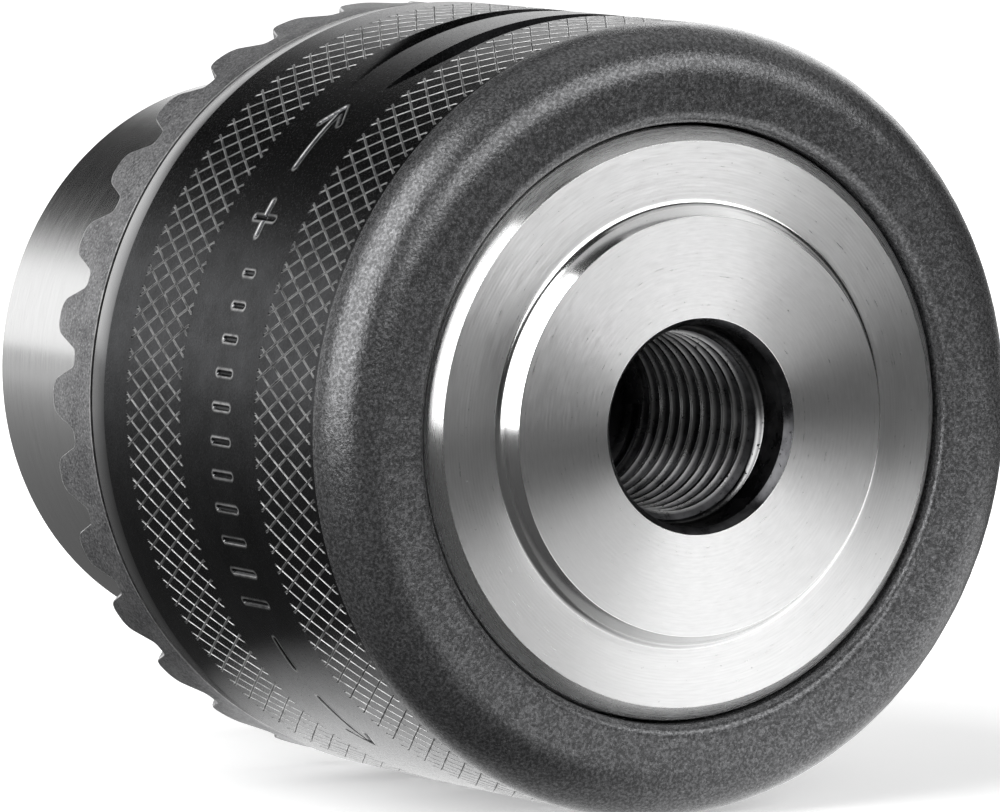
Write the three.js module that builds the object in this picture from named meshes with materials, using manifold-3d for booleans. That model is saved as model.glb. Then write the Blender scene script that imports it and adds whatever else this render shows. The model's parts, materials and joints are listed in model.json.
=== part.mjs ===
// Keyed drill chuck for 3 to 16 mm shanks, with a 1/2-20 UNF spindle thread.
// Millimetres. The chuck's axis is +Y, from the spindle thread (y = 0, the rear face) to the nose; +Z is up.

import * as THREE from "three";
import { mergeVertices } from "three/addons/utils/BufferGeometryUtils.js";
import Module from "manifold-3d";

const wasm = await Module();
wasm.setup();

// ---- Driving dimensions ----

const ROUND_STEPS = 60; // sides of a full turn on the body
const GAP = 0.3; // left between pieces that touch on the real chuck
const FINE_GAP = 0.1; // left around the bearing's balls and washer
const BEYOND = 1; // how far a cutter runs past the surface it opens

// Body
const NOSE_RADIUS = 19.05;
const NOSE_FRONT_Y = 59.6;
const NOSE_CHAMFER = 0.25;
const BOSS_RADIUS = 13.45;
const BOSS_FOOT_RADIUS = 14.1;
const FLANGE_FACE_RADIUS = 18.13;
const FLANGE_FACE_Y = 1.44;
const FLANGE_BEVEL_END_Y = 2.4;
const COLLAR_RADIUS = 22;
const COLLAR_REAR_Y = 5.4;
const GROOVE_RADIUS = 15.5;
const GROOVE_REAR_Y = 26;
const GROOVE_FRONT_Y = 38.4;

// Spindle thread, passage for the locking screw and bore for the tool shank
const MOUTH_RADIUS = 6.95;
const COUNTERBORE_RADIUS = 6.5;
const MOUTH_CHAMFER_Y = 0.6;
const COUNTERBORE_Y = 2.4;
const LEAD_IN_Y = 3.3;
const THREAD_RADIUS = 5.75;
const THREAD_END_Y = 19;
const SCREW_PASSAGE_RADIUS = 3.4;
const TOOL_BORE_RADIUS = 8.4;
const TOOL_BORE_CONE_Y = 21.5;
const TOOL_BORE_Y = 24.5;

// Jaws: round pins that slide along lines leaning in towards the nose
const JAW_COUNT = 3;
const FIRST_JAW_DEG = 50;
const JAW_ANGLE = THREE.MathUtils.degToRad(15);
const JAW_RADIUS = 4;
const JAW_REAR_Y = 9.6;
const JAW_TIP_Y = 59;
const JAW_AXIS_RADIUS_AT_TIP = 5.8;
const GRIP_RADIUS_OPEN = 8.1;
const GRIP_LAND = 1;
const GRIP_FACE_ANGLE = THREE.MathUtils.degToRad(60);
const JAW_BORE_CLEARANCE = 0.3;
const JAW_BORE_REAR_Y = 8.5;

// Holes that the key's pilot pin turns in, between the jaws
const KEY_HOLE_RADIUS = 4.05;
const KEY_HOLE_BOTTOM_RADIUS = 10.6;
const KEY_HOLE_Y = 49.2;
const FIRST_KEY_HOLE_DEG = -10;

// Sleeve with its bevel-gear rim
const SLEEVE_RADIUS = 25.55;
const SLEEVE_REAR_Y = 1.5;
const SLEEVE_CORNER_RADIUS = 3.4;
const LIP_RADIUS = 19.35;
const LIP_EDGE = 0.8;
const CAVITY_RADIUS = 23.5;
const CAVITY_REAR_Y = 4.9;
const CAVITY_FRONT_Y = 28.6;
const NUT_SEAT_RADIUS = 22.3;
const NUT_SEAT_REAR_Y = 29.4;
const FRONT_BEVEL_Y = 32.7;
const FRONT_BEVEL_END_Y = 34.8;
const FRONT_BEVEL_END_RADIUS = 25.3;
const RIM_GROOVE_RADIUS = 24.95;
const RIM_GROOVE_WIDTH = 0.4;
const RIM_RADIUS = 25.25;
const TOOTH_COUNT = 30;
const TOOTH_ROOT_Y = 37.7;
const TOOTH_TIP_Y = 40.4;
const TOOTH_SPACE_ROOT_WIDTH = 1.1;
const TOOTH_SPACE_TIP_WIDTH = 3.3;

// Nut and its ball thrust bearing
const NUT_REAR_Y = 29.5;
const NUT_FRONT_Y = 38;
const RACE_THICKNESS = 1.2;
const RACE_INNER_RADIUS = 19.2;
const BALL_COUNT = 18;
const BALL_RADIUS = 1;
const BALL_CIRCLE_RADIUS = 20.6;
const BALL_ROUND_STEPS = 10;
const BALL_HEIGHT_STEPS = 6;
const CAGE_THICKNESS = 0.8;
const CAGE_INNER_RADIUS = 19.3;
const CAGE_OUTER_RADIUS = 21.9;
const CAGE_POCKET_CLEARANCE = 0.06;

// ---- Solids from three.js geometry ----

/** The closed solid that a geometry encloses. */
function solidOf(geometry) {
  const shape = geometry.clone();
  shape.deleteAttribute("normal");
  shape.deleteAttribute("uv");
  const merged = mergeVertices(shape);
  const mesh = new wasm.Mesh({
    numProp: 3,
    vertProperties: merged.attributes.position.array,
    triVerts: new Uint32Array(merged.index.array),
  });
  return new wasm.Manifold(mesh);
}

/** A three.js geometry with the faces of a solid. */
function geometryOf(solid) {
  const mesh = solid.getMesh();
  const geometry = new THREE.BufferGeometry();
  geometry.setAttribute("position", new THREE.BufferAttribute(mesh.vertProperties, 3));
  geometry.setIndex(new THREE.BufferAttribute(mesh.triVerts, 1));
  geometry.computeVertexNormals();
  return geometry;
}

/** A ring turned about the chuck's axis. Its [radius, y] outline goes up inside and comes down outside. */
function turned(outline, steps = ROUND_STEPS) {
  const points = outline.map(([radius, y]) => new THREE.Vector2(radius, y)).reverse();
  points.push(points[0].clone());
  return new THREE.LatheGeometry(points, steps);
}

/** Points of a quarter round, from startAngle and turning by a right angle about its centre. */
function quarterRound(centreRadius, centreY, radius, startAngle, steps) {
  return Array.from({ length: steps + 1 }, (_, i) => {
    const angle = startAngle + ((Math.PI / 2) * i) / steps;
    return [centreRadius + radius * Math.cos(angle), centreY + radius * Math.sin(angle)];
  });
}

/** Turns a geometry about the chuck's axis, from +X towards +Z. */
function aboutAxis(geometry, degrees) {
  return geometry.rotateY(-THREE.MathUtils.degToRad(degrees));
}

/** Distance from the chuck's axis to a jaw's own axis, with the jaws open. */
function jawAxisRadius(y) {
  return JAW_AXIS_RADIUS_AT_TIP + (JAW_TIP_Y - y) * Math.tan(JAW_ANGLE);
}

/** Distance from the chuck's axis to the outermost line of a jaw, with the jaws open. */
function jawOuterRadius(y) {
  return jawAxisRadius(y) + JAW_RADIUS / Math.cos(JAW_ANGLE);
}

/** A round bar along the line of a jaw that starts at +X, between two heights of its centre line. */
function barAlongJawLine(radius, fromY, toY, sides) {
  const length = (toY - fromY) / Math.cos(JAW_ANGLE);
  const middleY = (fromY + toY) / 2;
  const bar = new THREE.CylinderGeometry(radius, radius, length, sides);
  bar.rotateZ(JAW_ANGLE);
  bar.translate(jawAxisRadius(middleY), middleY, 0);
  return bar;
}

// ---- Body ----

function bodyBlank() {
  return turned([
    [MOUTH_RADIUS, 0],
    [COUNTERBORE_RADIUS, MOUTH_CHAMFER_Y],
    [COUNTERBORE_RADIUS, COUNTERBORE_Y],
    [THREAD_RADIUS, LEAD_IN_Y],
    [THREAD_RADIUS, THREAD_END_Y],
    [SCREW_PASSAGE_RADIUS, THREAD_END_Y],
    [SCREW_PASSAGE_RADIUS, TOOL_BORE_CONE_Y],
    [TOOL_BORE_RADIUS, TOOL_BORE_Y],
    [TOOL_BORE_RADIUS, NOSE_FRONT_Y - NOSE_CHAMFER],
    [TOOL_BORE_RADIUS + NOSE_CHAMFER, NOSE_FRONT_Y],
    [NOSE_RADIUS - NOSE_CHAMFER, NOSE_FRONT_Y],
    [NOSE_RADIUS, NOSE_FRONT_Y - NOSE_CHAMFER],
    [NOSE_RADIUS, GROOVE_FRONT_Y],
    [GROOVE_RADIUS, GROOVE_FRONT_Y],
    [GROOVE_RADIUS, GROOVE_REAR_Y],
    [COLLAR_RADIUS, GROOVE_REAR_Y],
    [COLLAR_RADIUS, COLLAR_REAR_Y],
    [NOSE_RADIUS, COLLAR_REAR_Y],
    [NOSE_RADIUS, FLANGE_BEVEL_END_Y],
    [FLANGE_FACE_RADIUS, FLANGE_FACE_Y],
    [BOSS_FOOT_RADIUS, FLANGE_FACE_Y],
    [BOSS_RADIUS, 0],
  ]);
}

function keyHoleCutter() {
  const length = NOSE_RADIUS + BEYOND - KEY_HOLE_BOTTOM_RADIUS;
  const cutter = new THREE.CylinderGeometry(KEY_HOLE_RADIUS, KEY_HOLE_RADIUS, length, 24);
  cutter.rotateZ(Math.PI / 2);
  cutter.translate(KEY_HOLE_BOTTOM_RADIUS + length / 2, KEY_HOLE_Y, 0);
  return cutter;
}

function jawBoreCutter() {
  const radius = JAW_RADIUS + JAW_BORE_CLEARANCE;
  return barAlongJawLine(radius, JAW_BORE_REAR_Y, NOSE_FRONT_Y + 2 * BEYOND, 32);
}

function chuckBody() {
  let body = solidOf(bodyBlank());
  for (let i = 0; i < JAW_COUNT; i++) {
    const turn = (360 / JAW_COUNT) * i;
    body = body.subtract(solidOf(aboutAxis(jawBoreCutter(), FIRST_JAW_DEG + turn)));
    body = body.subtract(solidOf(aboutAxis(keyHoleCutter(), FIRST_KEY_HOLE_DEG + turn)));
  }
  return geometryOf(body);
}

// ---- Jaws ----

/** The wedge of air between one jaw's two gripping faces and the chuck's axis. */
function gripCutter() {
  const halfWidth = JAW_RADIUS + BEYOND;
  const faceRise = (halfWidth - GRIP_LAND / 2) / Math.tan(GRIP_FACE_ANGLE);
  const outline = new THREE.Shape([
    new THREE.Vector2(GRIP_RADIUS_OPEN, GRIP_LAND / 2),
    new THREE.Vector2(GRIP_RADIUS_OPEN + faceRise, halfWidth),
    new THREE.Vector2(-BEYOND, halfWidth),
    new THREE.Vector2(-BEYOND, -halfWidth),
    new THREE.Vector2(GRIP_RADIUS_OPEN + faceRise, -halfWidth),
    new THREE.Vector2(GRIP_RADIUS_OPEN, -GRIP_LAND / 2),
  ]);
  const cutter = new THREE.ExtrudeGeometry(outline, { depth: NOSE_FRONT_Y, bevelEnabled: false });
  cutter.rotateX(-Math.PI / 2);
  cutter.translate(0, JAW_REAR_Y, 0);
  return cutter;
}

/** Everything in front of the jaw's flat tip. */
function tipCutter() {
  const side = 4 * JAW_RADIUS;
  return new THREE.BoxGeometry(side, side, side).translate(
    JAW_AXIS_RADIUS_AT_TIP,
    JAW_TIP_Y + side / 2,
    0,
  );
}

function jaw(index) {
  const pin = barAlongJawLine(JAW_RADIUS, JAW_REAR_Y, JAW_TIP_Y + 2 * BEYOND, 32);
  const cut = solidOf(pin).subtract(solidOf(gripCutter())).subtract(solidOf(tipCutter()));
  return aboutAxis(geometryOf(cut), FIRST_JAW_DEG + (360 / JAW_COUNT) * index);
}

// ---- Sleeve ----

/** Height of a line from the gear rim's outer edge to the point on the axis where all the teeth meet. */
function towardsGearApex(yAtRim, radius) {
  return KEY_HOLE_Y - ((KEY_HOLE_Y - yAtRim) * radius) / RIM_RADIUS;
}

function sleeveBlank() {
  const cornerCentre = SLEEVE_RADIUS - SLEEVE_CORNER_RADIUS;
  const cornerEndY = SLEEVE_REAR_Y + SLEEVE_CORNER_RADIUS;
  const rearCorner = quarterRound(cornerCentre, cornerEndY, SLEEVE_CORNER_RADIUS, -Math.PI / 2, 5);
  const outline = [
    [LIP_RADIUS, SLEEVE_REAR_Y + LIP_EDGE],
    [LIP_RADIUS, CAVITY_REAR_Y],
    [CAVITY_RADIUS, CAVITY_REAR_Y],
    [CAVITY_RADIUS, CAVITY_FRONT_Y],
    [NUT_SEAT_RADIUS, NUT_SEAT_REAR_Y],
    [NUT_SEAT_RADIUS, towardsGearApex(TOOTH_TIP_Y, NUT_SEAT_RADIUS)],
    [RIM_RADIUS, TOOTH_TIP_Y],
    [RIM_RADIUS, FRONT_BEVEL_END_Y + RIM_GROOVE_WIDTH],
    [RIM_GROOVE_RADIUS, FRONT_BEVEL_END_Y + RIM_GROOVE_WIDTH],
    [RIM_GROOVE_RADIUS, FRONT_BEVEL_END_Y],
    [FRONT_BEVEL_END_RADIUS, FRONT_BEVEL_END_Y],
    [SLEEVE_RADIUS, FRONT_BEVEL_Y],
    ...rearCorner.reverse(),
    [LIP_RADIUS + LIP_EDGE, SLEEVE_REAR_Y],
  ];
  return turned(outline, 3 * TOOTH_COUNT);
}

/** The space between two bevel teeth: its outline shrinks towards the gear's apex as the radius falls. */
function toothSpaceCutter() {
  const rootDrop = TOOTH_ROOT_Y - KEY_HOLE_Y;
  const tipDrop = TOOTH_TIP_Y - KEY_HOLE_Y;
  const flankSlope = (TOOTH_SPACE_TIP_WIDTH - TOOTH_SPACE_ROOT_WIDTH) / 2 / (tipDrop - rootDrop);
  const topHalfWidth = TOOTH_SPACE_TIP_WIDTH / 2 + flankSlope * BEYOND;
  const outline = new THREE.Shape([
    new THREE.Vector2(-TOOTH_SPACE_ROOT_WIDTH / 2, rootDrop),
    new THREE.Vector2(TOOTH_SPACE_ROOT_WIDTH / 2, rootDrop),
    new THREE.Vector2(topHalfWidth, tipDrop + BEYOND),
    new THREE.Vector2(-topHalfWidth, tipDrop + BEYOND),
  ]);
  const inner = NUT_SEAT_RADIUS - BEYOND;
  const depth = RIM_RADIUS + BEYOND - inner;
  const cutter = new THREE.ExtrudeGeometry(outline, { depth, bevelEnabled: false });
  cutter.translate(0, 0, inner);
  const points = cutter.attributes.position;
  for (let i = 0; i < points.count; i++) {
    const scale = points.getZ(i) / RIM_RADIUS;
    points.setXY(i, points.getX(i) * scale, points.getY(i) * scale);
  }
  return cutter.translate(0, KEY_HOLE_Y, 0);
}

function sleeve() {
  let solid = solidOf(sleeveBlank());
  for (let i = 0; i < TOOTH_COUNT; i++) {
    const space = aboutAxis(toothSpaceCutter(), (360 / TOOTH_COUNT) * i);
    solid = solid.subtract(solidOf(space));
  }
  return geometryOf(solid);
}

// ---- Split nut ----

/** One half of the nut ring: side is 1 for the half at +X and -1 for the half at -X. */
function nutHalf(side) {
  const ring = turned([
    [jawOuterRadius(NUT_REAR_Y) + GAP, NUT_REAR_Y],
    [jawOuterRadius(NUT_FRONT_Y) + GAP, NUT_FRONT_Y],
    [NUT_SEAT_RADIUS - GAP, NUT_FRONT_Y],
    [NUT_SEAT_RADIUS - GAP, NUT_REAR_Y],
  ]);
  const width = 3 * NUT_SEAT_RADIUS;
  const otherHalf = new THREE.BoxGeometry(width, NOSE_FRONT_Y, width);
  otherHalf.translate(-side * (width / 2 - GAP / 2), NUT_REAR_Y, 0);
  return geometryOf(solidOf(ring).subtract(solidOf(otherHalf)));
}

// ---- Thrust bearing ----

const BALL_CENTRE_Y = NUT_REAR_Y - FINE_GAP - BALL_RADIUS;
const RACE_FRONT_Y = BALL_CENTRE_Y - BALL_RADIUS - FINE_GAP;

function thrustRace() {
  const rear = RACE_FRONT_Y - RACE_THICKNESS;
  return turned([
    [RACE_INNER_RADIUS, rear],
    [RACE_INNER_RADIUS, RACE_FRONT_Y],
    [COLLAR_RADIUS, RACE_FRONT_Y],
    [COLLAR_RADIUS, rear],
  ]);
}

/** Moves a geometry from the axis to the place of one ball. */
function toBallPlace(geometry, index) {
  geometry.translate(BALL_CIRCLE_RADIUS, BALL_CENTRE_Y, 0);
  return aboutAxis(geometry, (360 / BALL_COUNT) * index);
}

function ball(index) {
  const sphere = new THREE.SphereGeometry(BALL_RADIUS, BALL_ROUND_STEPS, BALL_HEIGHT_STEPS);
  return toBallPlace(sphere, index);
}

function ballCage() {
  const halfThickness = CAGE_THICKNESS / 2;
  const ring = turned([
    [CAGE_INNER_RADIUS, BALL_CENTRE_Y - halfThickness],
    [CAGE_INNER_RADIUS, BALL_CENTRE_Y + halfThickness],
    [CAGE_OUTER_RADIUS, BALL_CENTRE_Y + halfThickness],
    [CAGE_OUTER_RADIUS, BALL_CENTRE_Y - halfThickness],
  ]);
  let cage = solidOf(ring);
  for (let i = 0; i < BALL_COUNT; i++) {
    const radius = BALL_RADIUS + CAGE_POCKET_CLEARANCE;
    const pocket = new THREE.CylinderGeometry(radius, radius, 2 * BALL_RADIUS, BALL_ROUND_STEPS);
    cage = cage.subtract(solidOf(toBallPlace(pocket, i)));
  }
  return geometryOf(cage);
}

// ---- Materials ----

const polishedSteel = new THREE.MeshStandardMaterial({ color: 0xc4c6c8, roughness: 0.24, metalness: 1 });
const hardenedSteel = new THREE.MeshStandardMaterial({ color: 0x5d5f61, roughness: 0.35, metalness: 1 });
const blackOxide = new THREE.MeshStandardMaterial({ color: 0x17181a, roughness: 0.38, metalness: 0.8 });
const nutSteel = new THREE.MeshStandardMaterial({ color: 0x3b3c3e, roughness: 0.45, metalness: 1 });
const bearingSteel = new THREE.MeshStandardMaterial({ color: 0xd6d8da, roughness: 0.12, metalness: 1 });
const cageBrass = new THREE.MeshStandardMaterial({ color: 0xb08d4a, roughness: 0.4, metalness: 1 });

// ---- Assembly ----

function named(name, geometry, material) {
  const mesh = new THREE.Mesh(geometry, material);
  mesh.name = name;
  return mesh;
}

const chuck = new THREE.Group();
chuck.add(named("chuck_body", chuckBody(), polishedSteel));
chuck.add(named("thrust_race", thrustRace(), bearingSteel));

for (let i = 0; i < JAW_COUNT; i++) {
  chuck.add(named(`jaw_${i + 1}`, jaw(i), hardenedSteel));
}

const turningSleeve = new THREE.Group();
turningSleeve.add(named("sleeve", sleeve(), blackOxide));
turningSleeve.add(named("nut_half_1", nutHalf(1), nutSteel));
turningSleeve.add(named("nut_half_2", nutHalf(-1), nutSteel));
chuck.add(turningSleeve);

const ballRing = new THREE.Group();
ballRing.add(named("ball_cage", ballCage(), cageBrass));
for (let i = 0; i < BALL_COUNT; i++) {
  const number = String(i + 1).padStart(2, "0");
  ballRing.add(named(`ball_${number}`, ball(i), bearingSteel));
}
chuck.add(ballRing);

export default chuck;
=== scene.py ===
"""A keyed drill chuck seen from its spindle end: fine meshes, materials, light and camera for the CAD frame.

The chuck's axis is +Y, from the spindle thread's mouth (y = 0) to the nose, and it lies on its sleeve with +Z
up. Shapes are written in millimetres and scaled to metres when a mesh is made. Angles run about the axis from
+X towards +Z.
"""

import json
import math
import random

import bmesh
import bpy
import numpy as np
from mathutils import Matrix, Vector, noise


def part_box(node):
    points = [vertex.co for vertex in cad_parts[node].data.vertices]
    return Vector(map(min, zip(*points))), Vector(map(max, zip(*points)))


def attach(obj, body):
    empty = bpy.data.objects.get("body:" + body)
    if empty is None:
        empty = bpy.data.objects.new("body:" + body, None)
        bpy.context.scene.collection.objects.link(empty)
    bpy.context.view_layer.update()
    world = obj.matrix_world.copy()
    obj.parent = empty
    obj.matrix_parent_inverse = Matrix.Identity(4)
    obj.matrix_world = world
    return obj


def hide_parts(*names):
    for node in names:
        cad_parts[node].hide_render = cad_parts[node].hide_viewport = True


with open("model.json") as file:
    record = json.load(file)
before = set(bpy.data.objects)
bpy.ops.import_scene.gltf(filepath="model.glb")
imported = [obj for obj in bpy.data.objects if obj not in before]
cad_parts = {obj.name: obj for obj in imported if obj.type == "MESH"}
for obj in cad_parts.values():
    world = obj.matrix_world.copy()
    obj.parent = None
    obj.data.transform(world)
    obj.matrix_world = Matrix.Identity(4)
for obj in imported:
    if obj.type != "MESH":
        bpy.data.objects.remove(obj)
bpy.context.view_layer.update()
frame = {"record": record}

MM = 0.001
TURN = 2 * math.pi


def box_mm(node):
    """Lowest and highest corner of a CAD node, in millimetres."""
    low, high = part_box(node)
    return [value / MM for value in low], [value / MM for value in high]


# ---------------------------------------------------------------------------
# Sizes, in millimetres
# ---------------------------------------------------------------------------

SLEEVE_LOW, SLEEVE_HIGH = box_mm("sleeve")
NOSE_FRONT_Y = box_mm("chuck_body")[1][1]
NUT_LOW, NUT_HIGH = box_mm("nut_half_1")
RACE_LOW, RACE_HIGH = box_mm("thrust_race")
CAGE_LOW, CAGE_HIGH = box_mm("ball_cage")

# Body
NOSE_RADIUS = 19.05
NOSE_EDGE = 0.22
BOSS_RADIUS = 13.45
BOSS_FOOT_RADIUS = 14.1
FLANGE_FACE_RADIUS = 18.13
FLANGE_FACE_Y = 1.44
FLANGE_BEVEL_END_Y = 2.4
COLLAR_RADIUS = 22.0
COLLAR_REAR_Y = 5.4
GROOVE_RADIUS = 15.5
GROOVE_REAR_Y = 26.0
GROOVE_FRONT_Y = 38.4
MOUTH_RADIUS = 6.95
MOUTH_BEVEL_END_Y = 0.55
COUNTERBORE_RADIUS = 6.5
COUNTERBORE_Y = 2.4
BORE_BOTTOM_Y = 19.0
SCREW_PASSAGE_RADIUS = 3.4
TOOL_BORE_RADIUS = 8.4
TOOL_BORE_CONE_Y = 21.5
TOOL_BORE_Y = 24.5
TOOL_BORE_CHAMFER = 0.6
CUT_OVERRUN = 3.0

# Spindle thread, 1/2-20 UNF
THREAD_PITCH = 1.27
THREAD_ROOT_RADIUS = 6.35
THREAD_CREST_RADIUS = 5.72
THREAD_START_Y = 2.75
THREAD_END_Y = 18.6
LEAD_IN_RADIUS = 6.4
LEAD_IN_SLOPE = 0.75
SQUEEZE = 0.02

# Holes for the key's pilot pin
KEY_HOLE_RADIUS = 4.05
KEY_HOLE_BOTTOM_RADIUS = 10.6
KEY_HOLE_TIP_DEPTH = 0.4
KEY_HOLE_TIP_SHARE = 0.9
KEY_HOLE_Y = 49.2
KEY_HOLE_CHAMFER = 0.4
KEY_HOLE_CHAMFER_DEPTH = KEY_HOLE_CHAMFER * 0.6
KEY_HOLE_DEGREES = (-10, 110, 230)

# Jaws
JAW_ANGLE = math.radians(15)
JAW_RADIUS = 4.0
JAW_EDGE = 0.3
JAW_STEP = 0.16
JAW_REAR_Y = 9.6
JAW_TIP_Y = 59.0
JAW_AXIS_RADIUS_AT_TIP = 5.8
GRIP_RADIUS_OPEN = 8.1
GRIP_LAND = 1.0
GRIP_FACE_ANGLE = math.radians(60)
JAW_DEGREES = {"jaw_1": 50, "jaw_2": 170, "jaw_3": 290}
JAW_BORE_CLEARANCE = 0.3
JAW_BORE_REAR_Y = 8.5

# Thread of the jaws and the nut: 2.5 mm of travel along a jaw's line for each turn of the nut
JAW_THREAD_PITCH = 2.5 * math.cos(JAW_ANGLE)
JAW_THREAD_DEPTH = 1.05
JAW_THREAD_FRONT_Y = 39.0
JAW_GROOVE_WIDTHS = (1.45, 0.85)
NUT_RIDGE_HEIGHT = 0.85
NUT_RIDGE_WIDTHS = (1.25, 0.6)
NUT_CLEARANCE = 0.3
NUT_EDGE = 0.3
NUT_STEP = 0.15
NUT_SPLIT_ANGLE = math.radians(0.5)
NUT_COLUMNS = 180

# Thrust bearing
RACE_INNER_RADIUS = 19.2
RACE_TRACK_RADIUS = 20.6
RACE_TRACK_DEPTH = 0.14
RACE_ROUND = 0.15
CAGE_INNER_RADIUS = 19.3
CAGE_OUTER_RADIUS = 21.9
CAGE_ROUND = 0.08
POCKET_CLEARANCE = 0.06
BALL_COLUMNS = 32
BALL_ROWS = 16

# Sleeve
SLEEVE_RADIUS = 25.55
SLEEVE_REAR_Y = SLEEVE_LOW[1]
SLEEVE_CORNER_RADIUS = 3.4
LIP_RADIUS = 19.25
LIP_EDGE = 0.8
LIP_STEPS = 5
CAVITY_RADIUS = 23.5
CAVITY_REAR_Y = 4.9
CAVITY_FRONT_Y = 28.6
NUT_SEAT_RADIUS = 22.3
NUT_SEAT_REAR_Y = 29.4
NUT_SEAT_SEAM_Y = NUT_SEAT_REAR_Y + 5
FRONT_BEVEL_Y = 32.7
FRONT_BEVEL_END_Y = 34.8
FRONT_BEVEL_END_RADIUS = 25.3
RIM_GROOVE_RADIUS = 24.95
RIM_GROOVE_WIDTH = 0.4
RIM_RADIUS = 25.25
EDGE_BREAK = 0.02
FORGED_SWELL = 0.03
FORGED_SWELL_LIMIT = 0.4
FORGED_SINK = 0.012

# Bevel-gear rim
TOOTH_COUNT = 30
FIRST_SPACE_DEGREES = 90
TOOTH_ROOT_Y = 37.7
TOOTH_TIP_Y = KEY_HOLE_Y - (KEY_HOLE_Y - SLEEVE_HIGH[1]) * RIM_RADIUS / NUT_SEAT_RADIUS
TOOTH_SPACE_ROOT_WIDTH = 1.1
TOOTH_SPACE_TIP_WIDTH = 3.3
TOOTH_TIP_ROUND = 1.1
TOOTH_ROOT_ROUND = 0.55
TOOTH_EDGE = 0.1

# Knurl: crossing grooves, so many in each direction
KNURL_STARTS = 114
KNURL_ROW_HEIGHT = 1.207
KNURL_LAST_ROW = 5
KNURL_RUN_OUT = 0.4
KNURL_BAND_HEIGHT = (KNURL_LAST_ROW + 2 * KNURL_RUN_OUT) * KNURL_ROW_HEIGHT
KNURL_BANDS_LOW_Y = (5.45, 22.5)
KNURL_DEPTH = 0.1
KNURL_BURR = 0.014
KNURL_BURR_OFFSET = 0.06
KNURL_FLAT_OFFSET = 0.11
KNURL_JITTER = 0.015
FADE = 0.2

# Stamped marks between the knurled bands
MARKS_CENTRE_Y = 17.5
MARKS_HEIGHT = 4.2
MARKS_CENTRE_ANGLE = math.radians(183)
MARKS_LENGTH = 52.0
MARKS_GRID = 0.075
STROKE_WIDTH = 0.36
STROKE_WALL = 0.1
STROKE_DEPTH = 0.12
STROKE_LIP = 0.02
SYMBOL_HEIGHT = 3.0
SIGN_REACH = SYMBOL_HEIGHT * 0.4
ARROW_HALF_LENGTH = 2.6
ARROW_BARB = 1.5

PLAIN_COLUMNS = 360
FORGED_COLUMNS = 540
BODY_COLUMNS = 240
RING_STEP = 0.4
TOOL_FEED = 0.22


# ---------------------------------------------------------------------------
# Mesh tools
# ---------------------------------------------------------------------------


def full_circle(columns):
    return np.arange(columns) * (TURN / columns)


class Surface:
    """Points and faces of one piece, gathered ring by ring around the chuck's axis.

    Each point has a wear from 0 to 1, and each face the number of its finish. A face added while
    `round_shading` is on is shaded as part of a cylinder about the axis.
    """

    def __init__(self):
        self.points = []
        self.wear = []
        self.faces = []
        self.finishes = []
        self.round_faces = []
        self.finish = 0
        self.round_shading = False

    def add(self, points, wear=0.0):
        """Adds points and returns their indices."""
        first = len(self.points)
        self.points.extend(map(tuple, points))
        self.wear.extend(np.broadcast_to(wear, len(self.points) - first))
        return np.arange(first, len(self.points))

    def add_faces(self, faces):
        first = len(self.faces)
        self.faces.extend(map(tuple, faces))
        added = len(self.faces) - first
        self.finishes.extend([self.finish] * added)
        self.round_faces.extend([self.round_shading] * added)

    def loop(self, points, angles, wear=0.0):
        """A closed ring of given points, with the angle of each."""
        return {"at": self.add(points, wear), "angles": angles}

    def ring(self, angles, radius, y, wear=0.0):
        """A closed ring of points about the axis. Radius and y are numbers, or one value for each angle."""
        angles = np.asarray(angles, float)
        radius = np.broadcast_to(radius, angles.shape)
        y = np.broadcast_to(y, angles.shape)
        points = np.stack([radius * np.cos(angles), y, radius * np.sin(angles)], axis=1)
        return self.loop(points, angles, wear)

    def circle(self, x, z, radius, y, angles):
        """A level circle of points around a place off the axis."""
        points = [(x + radius * math.cos(a), y, z + radius * math.sin(a)) for a in angles]
        return self.loop(points, angles)

    def bridge(self, first, second):
        """Joins two closed rings: with quads where their points pair up, else with triangles by angle."""
        a, b = first["at"], second["at"]
        if len(a) == len(b):
            self.add_faces(np.stack([a, np.roll(a, -1), np.roll(b, -1), b], axis=1))
            return
        a_angles = np.append(first["angles"], first["angles"][0] + TURN)
        b_angles = np.append(second["angles"], second["angles"][0] + TURN)
        triangles = []
        i = j = 0
        while i < len(a) or j < len(b):
            if j == len(b) or (i < len(a) and a_angles[i + 1] <= b_angles[j + 1]):
                triangles.append((a[i], a[(i + 1) % len(a)], b[j % len(b)]))
                i += 1
            else:
                triangles.append((a[i % len(a)], b[(j + 1) % len(b)], b[j]))
                j += 1
        self.add_faces(triangles)

    def bridge_all(self, rings):
        for first, second in zip(rings, rings[1:]):
            self.bridge(first, second)

    def close_bar(self, rings):
        """Joins rings into a bar with a flat face at either end."""
        self.bridge_all(rings)
        self.add_faces([rings[0]["at"], rings[-1]["at"]])

    def mesh(self, name):
        """The mesh in metres, with its faces turned outwards."""
        mesh = bpy.data.meshes.new(name)
        points = [tuple(value * MM for value in point) for point in self.points]
        mesh.from_pydata(points, [], [tuple(int(i) for i in face) for face in self.faces])
        work = bmesh.new()
        work.from_mesh(mesh)
        bmesh.ops.recalc_face_normals(work, faces=work.faces)
        work.to_mesh(mesh)
        work.free()
        mesh.polygons.foreach_set("material_index", self.finishes)
        worn = mesh.attributes.new("worn", "FLOAT", "POINT")
        worn.data.foreach_set("value", np.array(self.wear, np.float32))
        return mesh


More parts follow.
